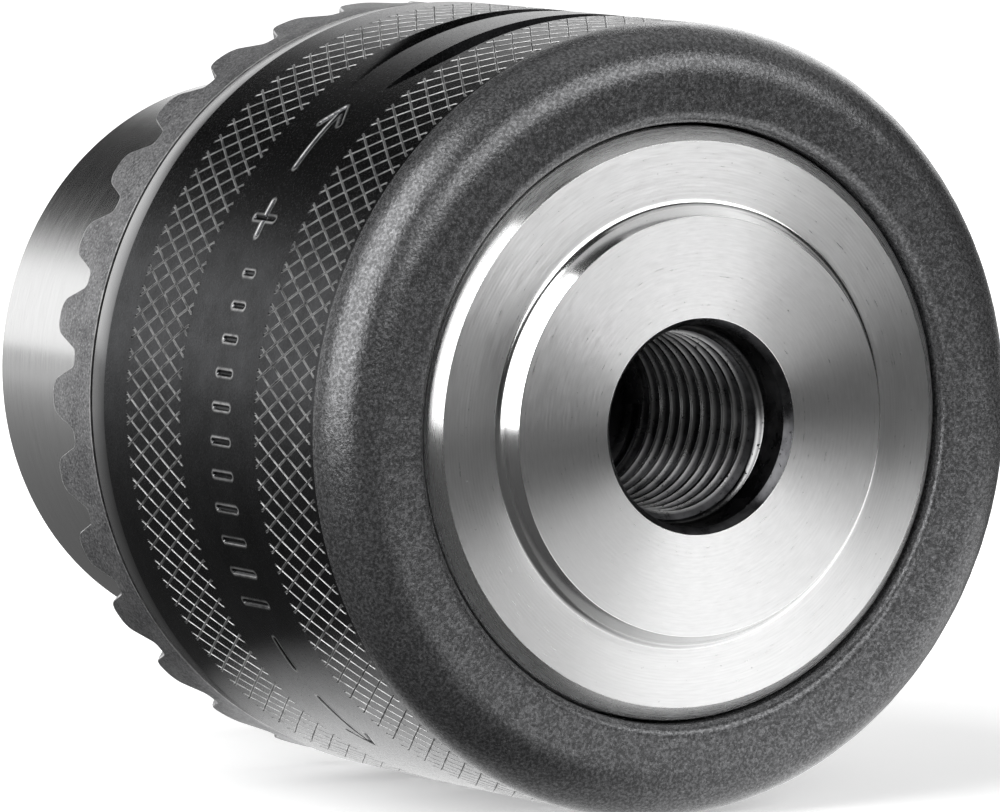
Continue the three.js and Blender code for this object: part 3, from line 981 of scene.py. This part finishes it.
def jaw_bar(name, degrees):
    """A round bar along the jaw's line, with the thread's grooves on its outer side."""
    start, end = JAW_REAR_Y, JAW_TIP_Y + CUT_OVERRUN
    length = (end - start) / math.cos(JAW_ANGLE)
    along = np.array([-math.sin(JAW_ANGLE), math.cos(JAW_ANGLE), 0])
    side = np.array([math.cos(JAW_ANGLE), math.sin(JAW_ANGLE), 0])
    origin = np.array([jaw_axis_radius(start), start, 0])
    columns = 64
    angles = full_circle(columns)
    spokes = np.outer(np.cos(angles), side) + np.outer(np.sin(angles), (0, 0, 1))
    surface = Surface()
    rings = []
    edge_steps = [(0, JAW_RADIUS - JAW_EDGE), (JAW_EDGE, JAW_RADIUS)]
    body_steps = [(step, JAW_RADIUS) for step in np.arange(0.5, length, JAW_STEP)]
    for distance, full_radius in edge_steps + body_steps:
        centre = origin + along * distance
        points = centre + full_radius * spokes
        around = math.radians(degrees) + np.arctan2(points[:, 2], points[:, 0])
        depth = JAW_THREAD_DEPTH * thread_share(points[:, 1], around, *JAW_GROOVE_WIDTHS)
        depth = depth * (points[:, 1] < JAW_THREAD_FRONT_Y)
        limit = JAW_AXIS_RADIUS_AT_TIP + (JAW_TIP_Y - points[:, 1]) * math.tan(JAW_ANGLE)
        limit = limit + JAW_RADIUS / math.cos(JAW_ANGLE) - depth
        scale = np.ones(columns)
        for _ in range(12):
            points = centre + full_radius * scale[:, None] * spokes
            over = np.hypot(points[:, 0], points[:, 2]) - limit
            scale = np.where((over > 0) & (depth > 0), scale - over / full_radius * 0.8, scale)
        rings.append(surface.loop(points, angles))
    surface.close_bar(rings)
    return surface.mesh(name)


def keep_behind(mesh, planes):
    """Cuts a mesh at planes of (point in millimetres, normal), and closes it where the far side is gone."""
    work = bmesh.new()
    work.from_mesh(mesh)
    for point, normal in planes:
        found = bmesh.ops.bisect_plane(
            work,
            geom=work.verts[:] + work.edges[:] + work.faces[:],
            plane_co=[value * MM for value in point],
            plane_no=normal,
            clear_outer=True,
        )
        rim = [item for item in found["geom_cut"] if isinstance(item, bmesh.types.BMEdge)]
        bmesh.ops.edgeloop_fill(work, edges=rim)
    bmesh.ops.recalc_face_normals(work, faces=work.faces)
    work.to_mesh(mesh)
    work.free()


def jaw_piece(name, degrees):
    """A round jaw along its own line, threaded outside, with a flat tip and two ground gripping faces."""
    mesh = jaw_bar(name, degrees)
    slope = math.tan(GRIP_FACE_ANGLE)
    planes = [
        ((JAW_AXIS_RADIUS_AT_TIP, JAW_TIP_Y, 0), (0, 1, 0)),
        ((GRIP_RADIUS_OPEN, 0, 0), (-1, 0, 0)),
        ((GRIP_RADIUS_OPEN, 0, GRIP_LAND / 2), (-slope, 0, 1)),
        ((GRIP_RADIUS_OPEN, 0, -GRIP_LAND / 2), (-slope, 0, -1)),
    ]
    keep_behind(mesh, planes)
    return smooth_piece(name, about_axis(mesh, degrees), 30)


def nut_piece(name, side):
    """Half of the nut ring, threaded inside on a cone. Side is 1 for the half at +X and -1 for the other."""
    low_y, high_y = NUT_LOW[1], NUT_HIGH[1]
    outer = NUT_SEAT_RADIUS - NUT_CLEARANCE
    start = -math.pi / 2 * side + NUT_SPLIT_ANGLE
    angles = start + (math.pi - 2 * NUT_SPLIT_ANGLE) * np.arange(NUT_COLUMNS + 1) / NUT_COLUMNS
    ridge = NUT_CLEARANCE + NUT_RIDGE_HEIGHT
    rows = []
    for step_y in np.arange(low_y, high_y + 0.05, NUT_STEP):
        y = min(step_y, high_y)
        share = thread_share(y, angles, *NUT_RIDGE_WIDTHS)
        rows.append((jaw_outer_radius(y) + NUT_CLEARANCE - ridge * share, y))
    rows += [(outer - NUT_EDGE, high_y), (outer, high_y - NUT_EDGE)]
    rows += [(outer, low_y + NUT_EDGE), (outer - NUT_EDGE, low_y)]
    surface = Surface()
    grid = [surface.ring(angles, radius, y)["at"] for radius, y in rows]
    for row, above in zip(grid, grid[1:] + grid[:1]):
        surface.add_faces(np.stack([row[:-1], row[1:], above[1:], above[:-1]], axis=1))
    surface.add_faces([[row[0] for row in grid], [row[-1] for row in grid]])
    return smooth_piece(name, surface.mesh("nut_half"), 30)


# ---------------------------------------------------------------------------
# Thrust bearing
# ---------------------------------------------------------------------------


def race_piece():
    """A hardened washer with a shallow ball track in its front face."""
    low, high = RACE_LOW[1], RACE_HIGH[1]
    track = RACE_TRACK_RADIUS
    corners = [
        (RACE_INNER_RADIUS, low, RACE_ROUND),
        (COLLAR_RADIUS, low, RACE_ROUND),
        (COLLAR_RADIUS, high, RACE_ROUND),
        (track + 0.6, high, 0.05),
        (track + 0.3, high - RACE_TRACK_DEPTH, 0.1),
        (track - 0.3, high - RACE_TRACK_DEPTH, 0.1),
        (track - 0.6, high, 0.05),
        (RACE_INNER_RADIUS, high, RACE_ROUND),
    ]
    return smooth_piece("thrust_race", turned_mesh("thrust_race", corners))


def cage_piece(ball_nodes):
    """A thin ring with a round pocket for each ball."""
    low, high = CAGE_LOW[1], CAGE_HIGH[1]
    inner, outer = CAGE_INNER_RADIUS, CAGE_OUTER_RADIUS
    outline = ((inner, low), (outer, low), (outer, high), (inner, high))
    corners = [(radius, y, CAGE_ROUND) for radius, y in outline]
    piece = add_object("ball_cage_fine", turned_mesh("ball_cage", corners, 180))
    angles = full_circle(BALL_COLUMNS)
    cutters = []
    for node in ball_nodes:
        (x, _, z), radius = ball_place(node)
        surface = Surface()
        ends = (low - 1, high + 1)
        surface.close_bar([surface.circle(x, z, radius + POCKET_CLEARANCE, y, angles) for y in ends])
        cutters.append(surface.mesh("pocket"))
    cut(piece, cutters)
    shade(piece.data)
    return piece


def ball_place(node):
    low, high = box_mm(node)
    centre = [(a + b) / 2 for a, b in zip(low, high)]
    return centre, (high[1] - low[1]) / 2


def ball_piece(node):
    """A round ball from rings of points, closed by a point at either pole."""
    (x, y, z), radius = ball_place(node)
    surface = Surface()
    angles = full_circle(BALL_COLUMNS)
    tilts = [math.pi * k / BALL_ROWS for k in range(1, BALL_ROWS)]
    rings = [surface.circle(x, z, radius * math.sin(t), y - radius * math.cos(t), angles) for t in tilts]
    surface.bridge_all(rings)
    for ring, pole_y in ((rings[0], y - radius), (rings[-1], y + radius)):
        pole = surface.add([(x, pole_y, z)])[0]
        at = ring["at"]
        surface.add_faces([(a, b, pole) for a, b in zip(at, np.roll(at, -1))])
    return smooth_piece(node, surface.mesh(node))


# ---------------------------------------------------------------------------
# Materials
# ---------------------------------------------------------------------------


class Nodes:
    """Short ways to add nodes to a material or to the world. A value is a number or another node's output."""

    def __init__(self, tree):
        self.tree = tree

    def link(self, output, socket):
        self.tree.links.new(output, socket)

    def feed(self, value, socket):
        if isinstance(value, (int, float, tuple)):
            socket.default_value = value
        elif value is not None:
            self.link(value, socket)

    def add(self, kind, *inputs, **settings):
        """The outputs of a new node with its settings made and its first inputs fed. None skips an input."""
        node = self.tree.nodes.new(kind)
        for name, value in settings.items():
            setattr(node, name, value)
        for socket, value in zip(node.inputs, inputs):
            self.feed(value, socket)
        return node.outputs

    def math(self, operation, a, b=0.0):
        return self.add("ShaderNodeMath", a, b, operation=operation)[0]

    def scaled(self, value, factor):
        return self.math("MULTIPLY", value, factor)

    def sum(self, a, b):
        return self.math("ADD", a, b)

    def blend(self, a, a_share, b, b_share):
        return self.sum(self.scaled(a, a_share), self.scaled(b, b_share))

    def between(self, value, low, high, to_low=0.0, to_high=1.0):
        """Maps a value from one range to another, and keeps it in the second."""
        return self.add("ShaderNodeMapRange", value, low, high, to_low, to_high)[0]


class Finish(Nodes):
    """One material. Its places are in millimetres. A colour is (r, g, b), or one number for a grey."""

    def __init__(self, name, metallic):
        self.material = bpy.data.materials.new(name)
        self.material.use_nodes = True
        super().__init__(self.material.node_tree)
        self.shader = self.tree.nodes["Principled BSDF"]
        self.shader.inputs["Metallic"].default_value = metallic
        coordinates = self.add("ShaderNodeTexCoord")["Object"]
        self.place = self.add("ShaderNodeVectorMath", coordinates, None, None, 1 / MM, operation="SCALE")[0]
        self.x, self.height, self.z = self.add("ShaderNodeSeparateXYZ", self.place)
        squares = self.sum(self.scaled(self.x, self.x), self.scaled(self.z, self.z))
        self.radius = self.math("SQRT", squares)

    def ring_place(self, radius_scale, height_scale):
        """Coordinates that change only with the distance from the axis and along it."""
        out, along = self.scaled(self.radius, radius_scale), self.scaled(self.height, height_scale)
        return self.add("ShaderNodeCombineXYZ", out, along)[0]

    def streak_place(self, across, around):
        """Coordinates for marks that run round the axis: fine across their run, and long along it."""
        along_outline = self.scaled(self.sum(self.radius, self.height), across)
        away = self.math("MAXIMUM", self.radius, 0.01)
        spokes = [self.scaled(self.math("DIVIDE", side, away), around) for side in (self.x, self.z)]
        return self.add("ShaderNodeCombineXYZ", along_outline, *spokes)[0]

    def noise(self, scale, detail=2.0, roughness=0.5, place=None):
        """Noise from 0 to 1 with about `scale` features in a millimetre."""
        node = self.tree.nodes.new("ShaderNodeTexNoise")
        wanted = {"Vector": place or self.place, "Scale": scale, "Detail": detail, "Roughness": roughness}
        for socket, value in wanted.items():
            self.feed(value, node.inputs[socket])
        return node.outputs["Fac"]

    def colour(self, amount, dark, light):
        """A colour between two, by an amount from 0 to 1."""
        node = self.tree.nodes.new("ShaderNodeMix")
        node.data_type = "RGBA"
        self.feed(amount, node.inputs["Factor"])
        for name, value in (("A", dark), ("B", light)):
            if isinstance(value, float):
                value = (value, value, value)
            if isinstance(value, tuple):
                value = (*value, 1)
            self.feed(value, [item for item in node.inputs if item.name == name and item.type == "RGBA"][0])
        return [item for item in node.outputs if item.type == "RGBA"][0]

    def worn(self):
        return self.add("ShaderNodeAttribute", attribute_name="worn")["Fac"]

    def set_colour(self, output):
        self.link(output, self.shader.inputs["Base Color"])

    def set_roughness(self, output):
        self.link(output, self.shader.inputs["Roughness"])

    def add_bump(self, height, depth):
        """Lays a bump over those before it. The height runs from 0 to 1 and the depth is in millimetres."""
        node = self.tree.nodes.new("ShaderNodeBump")
        node.inputs["Distance"].default_value = depth * MM
        node.inputs["Strength"].default_value = 1.0
        self.link(height, node.inputs["Height"])
        socket = self.shader.inputs["Normal"]
        if socket.is_linked:
            self.link(socket.links[0].from_socket, node.inputs["Normal"])
        self.link(node.outputs["Normal"], socket)

    def turned(self, anisotropy):
        """Stretches reflections across the lathe's circular marks."""
        tangent = self.add("ShaderNodeTangent", direction_type="RADIAL", axis="Y")["Tangent"]
        self.link(tangent, self.shader.inputs["Tangent"])
        self.shader.inputs["Anisotropic"].default_value = anisotropy
        self.shader.inputs["Anisotropic Rotation"].default_value = 0.25


def turned_steel(name, roughness, anisotropy, grey):
    """Bright steel with fine lathe marks round the axis."""
    finish = Finish(name, metallic=1.0)
    lines = finish.noise(1.0, 3, 0.6, finish.ring_place(7, 7))
    streaks = finish.noise(1.0, 2, 0.6, finish.streak_place(7, 12))
    specks = finish.between(finish.noise(4, 2, 0.6), 0.72, 0.78)
    marks = finish.blend(lines, 0.5, streaks, 0.5)
    steel = finish.colour(finish.between(marks, 0.35, 0.65), grey * 0.9, grey)
    finish.set_colour(finish.colour(finish.scaled(specks, 0.5), steel, 0.16))
    finish.set_roughness(finish.between(marks, 0.35, 0.65, roughness * 0.85, roughness * 1.15))
    finish.add_bump(marks, 0.0006)
    finish.add_bump(specks, 0.003)
    finish.turned(anisotropy)
    return finish


def face_steel():
    """The rear faces, with evenly fed tool marks on the flange."""
    finish = turned_steel("turned_face_steel", 0.32, 0.97, 0.84)
    wave = finish.math("SINE", finish.scaled(finish.radius, TURN / TOOL_FEED))
    on_flange = finish.between(finish.radius, BOSS_FOOT_RADIUS + 0.3, BOSS_FOOT_RADIUS + 0.5)
    finish.add_bump(finish.scaled(wave, on_flange), 0.001)
    return finish.material


def wall_steel():
    """The boss's wall, cut smoother than the faces."""
    return turned_steel("turned_wall_steel", 0.16, 0.3, 0.80).material


def flange_bevel_steel():
    return turned_steel("turned_bevel_steel", 0.28, 0.9, 0.80).material


def nose_steel():
    return turned_steel("ground_nose_steel", 0.2, 0.4, 0.76).material


def bore_steel():
    """Threaded steel, its colour made very dark as painted shade for the deep bore, with a few chips of dirt.
    """
    finish = Finish("bore_steel_painted_shade", metallic=1.0)
    stains = finish.noise(0.6, 4, 0.6)
    specks = finish.between(finish.noise(5, 2, 0.6), 0.66, 0.72)
    lines = finish.noise(1.0, 3, 0.6, finish.ring_place(8, 8))
    # Painted shade: the bore's steel gets a near-black colour for the shade inside it, varied at random in
    # patches.
    steel = finish.colour(finish.between(stains, 0.35, 0.65), (0.03, 0.03, 0.032), (0.09, 0.09, 0.094))
    edged = finish.colour(finish.worn(), steel, 0.4)
    finish.set_colour(finish.colour(specks, edged, 0.02))
    finish.set_roughness(finish.between(stains, 0.3, 0.7, 0.22, 0.36))
    finish.add_bump(lines, 0.003)
    finish.add_bump(specks, 0.02)
    return finish.material


def black_oxide():
    """Turned and blackened steel, with rubbed edges, dust and light lathe marks."""
    finish = Finish("black_oxide_steel", metallic=1.0)
    lines = finish.noise(1.0, 3, 0.6, finish.ring_place(1, 7))
    clouds = finish.noise(0.5, 4, 0.6)
    grain = finish.noise(6, 2, 0.7)
    dust = finish.between(finish.noise(3.1, 3, 0.7), 0.68, 0.76)
    tone = finish.between(finish.blend(clouds, 0.5, grain, 0.5), 0.36, 0.64)
    black = finish.colour(tone, (0.014, 0.0145, 0.0155), (0.048, 0.049, 0.052))
    dusty = finish.colour(finish.scaled(dust, 0.35), black, 0.2)
    patchy = finish.scaled(finish.worn(), finish.between(finish.noise(1.3, 2), 0.25, 0.6, 0.3, 1.0))
    finish.set_colour(finish.colour(patchy, dusty, 0.6))
    dull = finish.scaled(finish.worn(), 0.3)
    finish.set_roughness(finish.sum(finish.between(grain, 0.3, 0.7, 0.18, 0.3), dull))
    finish.add_bump(lines, 0.002)
    finish.add_bump(grain, 0.005)
    return finish.material


def bevel_steel():
    """The narrow bevel before the gear rim, where the black finish is thin and glossy."""
    finish = Finish("thin_black_bevel_steel", metallic=1.0)
    lines = finish.noise(1.0, 3, 0.6, finish.ring_place(1, 9))
    tone = finish.blend(finish.noise(0.8, 4, 0.6), 0.6, lines, 0.4)
    grey = finish.colour(finish.between(tone, 0.36, 0.64), (0.028, 0.028, 0.03), (0.07, 0.07, 0.073))
    finish.set_colour(finish.colour(finish.worn(), grey, 0.6))
    finish.set_roughness(finish.between(tone, 0.3, 0.7, 0.14, 0.24))
    finish.add_bump(lines, 0.001)
    return finish.material


def forged_black():
    """The unturned skin of the sleeve: a fine pebbled surface under the same black finish."""
    finish = Finish("forged_black_steel", metallic=0.6)
    pebble = finish.noise(5, 3, 0.65)
    fine = finish.noise(11, 2, 0.6)
    flecks = finish.between(finish.noise(5.2, 2, 0.6), 0.60, 0.72)
    skin = finish.colour(finish.between(pebble, 0.42, 0.66), (0.06, 0.0605, 0.062), (0.18, 0.181, 0.186))
    flecked = finish.colour(finish.scaled(flecks, 0.6), skin, (0.3, 0.3, 0.305))
    finish.set_colour(finish.colour(finish.scaled(finish.worn(), 0.6), flecked, 0.4))
    finish.set_roughness(finish.between(fine, 0.3, 0.7, 0.2, 0.34))
    finish.add_bump(pebble, 0.024)
    finish.add_bump(fine, 0.006)
    return finish.material


def gear_grey():
    """The toothed rim's matt grey skin, speckled, with its edges rubbed bright."""
    finish = Finish("grey_phosphate_steel", metallic=0.8)
    speckle = finish.noise(5, 3, 0.65)
    flecks = finish.between(finish.noise(6.5, 2, 0.6), 0.58, 0.7)
    tone = finish.between(finish.blend(speckle, 0.7, finish.noise(0.5, 3), 0.3), 0.38, 0.64)
    grey = finish.colour(tone, (0.12, 0.12, 0.125), (0.36, 0.36, 0.365))
    flecked = finish.colour(finish.scaled(flecks, 0.5), grey, 0.7)
    rubbed = finish.scaled(finish.worn(), finish.between(finish.noise(1.1, 2), 0.3, 0.6, 0.2, 1.0))
    finish.set_colour(finish.colour(rubbed, flecked, 0.8))
    finish.set_roughness(finish.between(speckle, 0.3, 0.7, 0.4, 0.56))
    finish.add_bump(speckle, 0.015)
    finish.add_bump(finish.noise(2.2, 2), 0.02)
    return finish.material


def jaw_steel():
    """Hardened and ground steel, brownish grey in patches from the heat treatment."""
    finish = Finish("hardened_jaw_steel", metallic=1.0)
    clouds = finish.noise(0.5, 4, 0.6)
    grain = finish.noise(7, 3, 0.6)
    tone = finish.between(clouds, 0.35, 0.65)
    finish.set_colour(finish.colour(tone, (0.20, 0.195, 0.19), (0.38, 0.375, 0.37)))
    finish.set_roughness(finish.between(grain, 0.3, 0.7, 0.26, 0.42))
    finish.add_bump(grain, 0.004)
    finish.add_bump(clouds, 0.01)
    return finish.material


def nut_steel():
    finish = Finish("oiled_nut_steel", metallic=1.0)
    lines = finish.noise(1.0, 3, 0.6, finish.ring_place(7, 7))
    tone = finish.between(finish.noise(0.5, 3), 0.35, 0.65)
    finish.set_colour(finish.colour(tone, 0.10, (0.22, 0.215, 0.21)))
    finish.set_roughness(finish.between(lines, 0.3, 0.7, 0.3, 0.45))
    finish.add_bump(lines, 0.004)
    return finish.material


def bearing_steel():
    finish = Finish("bearing_steel", metallic=1.0)
    haze = finish.noise(2.0, 3)
    finish.set_colour(finish.colour(haze, (0.66, 0.66, 0.67), (0.8, 0.8, 0.81)))
    finish.set_roughness(finish.between(haze, 0.3, 0.7, 0.08, 0.16))
    finish.add_bump(finish.noise(9, 2), 0.0006)
    return finish.material


def cage_brass():
    finish = Finish("cage_brass", metallic=1.0)
    tarnish = finish.noise(0.8, 4, 0.6)
    tone = finish.between(tarnish, 0.35, 0.65)
    finish.set_colour(finish.colour(tone, (0.42, 0.28, 0.10), (0.68, 0.48, 0.2)))
    finish.set_roughness(finish.between(tarnish, 0.3, 0.7, 0.28, 0.45))
    finish.add_bump(finish.noise(6, 3), 0.004)
    return finish.material


# ---------------------------------------------------------------------------
# Assembly
# ---------------------------------------------------------------------------


def place_piece(piece, body, node, materials):
    """Gives a piece its materials and lets it stand for its CAD node."""
    for material in materials:
        piece.data.materials.append(material)
    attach(piece, body)
    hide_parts(node)


def build_chuck():
    body_finishes = [face_steel(), bore_steel(), nose_steel(), wall_steel(), flange_bevel_steel()]
    place_piece(body_piece(), "body", "chuck_body", body_finishes)
    bearing = bearing_steel()
    place_piece(race_piece(), "body", "thrust_race", [bearing])
    sleeve_finishes = [black_oxide(), forged_black(), gear_grey(), bevel_steel()]
    place_piece(sleeve_piece(), "sleeve", "sleeve", sleeve_finishes)
    nut = nut_steel()
    place_piece(nut_piece("nut_half_1", 1), "sleeve", "nut_half_1", [nut])
    place_piece(nut_piece("nut_half_2", -1), "sleeve", "nut_half_2", [nut])
    jaws = jaw_steel()
    for name, degrees in JAW_DEGREES.items():
        place_piece(jaw_piece(name, degrees), name, name, [jaws])
    balls = [node for node in frame["record"]["behaviour"]["bodies"]["ball_ring"] if node != "ball_cage"]
    place_piece(cage_piece(balls), "ball_ring", "ball_cage", [cage_brass()])
    for node in balls:
        place_piece(ball_piece(node), "ball_ring", node, [bearing])


# ---------------------------------------------------------------------------
# Floor, light and camera. Sizes and places are in metres.
# ---------------------------------------------------------------------------


class StageNodes(Nodes):
    """Ways to show the camera one thing and reflections another."""

    def floor_patch(self, place, centre, inner, outer):
        """1 within the inner radius of a centre and nearly 0 past the outer one."""
        away = self.add("ShaderNodeVectorMath", place, centre, operation="DISTANCE")["Value"]
        return self.between(away, inner, outer, 1.0, 0.03)

    def to_camera_or_not(self, seen, reflected):
        """One value for what the camera sees and another for reflections and bounced light."""
        is_camera = self.add("ShaderNodeLightPath")["Is Camera Ray"]
        return self.add("ShaderNodeMix", is_camera, None, reflected, seen)[0]


def floor_material(z):
    """Pale to the camera and white far away, from a glow that grows with the distance: painted light.

    In reflections it is dark, but for painted light: a pale glowing patch before the chuck, a glowing one
    under the sleeve, and a glow at the rear.
    """
    material = bpy.data.materials.new("pale_floor")
    material.use_nodes = True
    shader = material.node_tree.nodes["Principled BSDF"]
    stage = StageNodes(material.node_tree)
    place = stage.add("ShaderNodeTexCoord")["Object"]
    distance = stage.add("ShaderNodeVectorMath", place, operation="LENGTH")["Value"]
    # Painted light: patches of floor that glow, and one that is pale, seen only in reflections.
    before = stage.floor_patch(place, (0.06, -0.045, z), 0.055, 0.08)
    under = stage.floor_patch(place, (0.004, 0.025, z), 0.018, 0.03)
    behind = stage.between(stage.add("ShaderNodeSeparateXYZ", place)[1], 0.06, 0.28, 0.0, 0.5)
    pale = 0.84
    tone = stage.to_camera_or_not(pale, stage.scaled(before, pale))
    colour = stage.add("ShaderNodeCombineColor", tone, tone, tone)[0]
    reflected_glow = stage.sum(stage.blend(before, 0.62, under, 1.4), behind)
    # Painted light: to the camera the floor glows, more from near the chuck to far away.
    glow = stage.to_camera_or_not(stage.between(distance, 0.04, 0.3, 0.4, 1.0), reflected_glow)
    stage.link(colour, shader.inputs["Base Color"])
    stage.link(glow, shader.inputs["Emission Strength"])
    shader.inputs["Emission Color"].default_value = (1, 1, 1, 1)
    shader.inputs["Roughness"].default_value = 0.9
    shader.inputs["Specular IOR Level"].default_value = 0.0
    return material


def add_floor():
    """A wide flat floor that the sleeve lies on."""
    reach = 6.0
    z = -SLEEVE_RADIUS * MM
    mesh = bpy.data.meshes.new("floor")
    corners = [(-reach, -reach, z), (reach, -reach, z), (reach, reach, z), (-reach, reach, z)]
    mesh.from_pydata(corners, [], [(0, 1, 2, 3)])
    floor = add_object("floor", mesh)
    floor.data.materials.append(floor_material(z))


def add_softbox(name, place, target, width, height, brightness):
    """A flat soft light of the given brightness, aimed at a point."""
    data = bpy.data.lights.new(name, "AREA")
    data.shape = "RECTANGLE"
    data.size = width
    data.size_y = height
    data.energy = brightness * math.pi * width * height
    light = bpy.data.objects.new(name, data)
    bpy.context.scene.collection.objects.link(light)
    light.location = place
    light.rotation_mode = "QUATERNION"
    light.rotation_quaternion = (Vector(target) - Vector(place)).to_track_quat("-Z", "Y")


def add_world():
    """White to the camera. In reflections it is dark, but for a pale band low behind the chuck."""
    world = bpy.data.worlds.new("studio")
    bpy.context.scene.world = world
    world.use_nodes = True
    stage = StageNodes(world.node_tree)
    direction = stage.add("ShaderNodeTexCoord")["Generated"]
    right, rear, up = stage.add("ShaderNodeSeparateXYZ", direction)
    ramp = stage.between(rear, 0.3, 0.97, 0.0, 1.26)
    middle = stage.between(right, -0.1, 0.3, 0.13, 0.0)
    half_height = stage.between(right, 0.05, 0.35, 0.29, 0.6)
    away = stage.math("ABSOLUTE", stage.math("SUBTRACT", up, middle))
    low = stage.between(stage.math("DIVIDE", away, half_height), 0.45, 0.9, 1.0, 0.0)
    band = stage.sum(stage.scaled(stage.scaled(ramp, ramp), low), 0.02)
    background = world.node_tree.nodes["Background"]
    background.inputs["Color"].default_value = (1, 1, 1, 1)
    stage.link(stage.to_camera_or_not(1.0, band), background.inputs["Strength"])


def add_lights():
    middle = (0, 0.02, 0)
    add_softbox("left_softbox", (-0.5, -0.09, 0.42), (0, -0.09, 0.3), 0.68, 0.9, 4.0)
    add_softbox("front_softbox", (0.24, -0.68, 0.4), middle, 0.98, 0.42, 3.0)
    add_softbox("overhead_softbox", (0.65, 0.05, 0.75), (0.65, 0.05, 0), 1.3, 0.7, 0.5)
    add_softbox("right_rear_softbox", (0.5, 0.45, 0.3), middle, 0.4, 0.4, 2.0)


def add_camera():
    """A long lens from the spindle's side, a little left of the axis and above it."""
    azimuth, elevation = math.radians(-30.4), math.radians(5.3)
    distance = 0.684
    target = Vector((0, 0.0253, -0.0007))
    level = math.cos(elevation)
    back = Vector((math.sin(azimuth) * level, -math.cos(azimuth) * level, math.sin(elevation)))
    data = bpy.data.cameras.new("camera")
    data.sensor_width = 36
    data.lens = 374.7
    data.clip_start = 0.05
    data.clip_end = 20
    camera = bpy.data.objects.new("camera", data)
    bpy.context.scene.collection.objects.link(camera)
    camera.location = target + back * distance
    camera.rotation_mode = "QUATERNION"
    camera.rotation_quaternion = (-back).to_track_quat("-Z", "Y")
    bpy.context.scene.camera = camera


build_chuck()
add_floor()
add_world()
add_lights()
add_camera()
bpy.context.scene.view_settings.view_transform = "Standard"
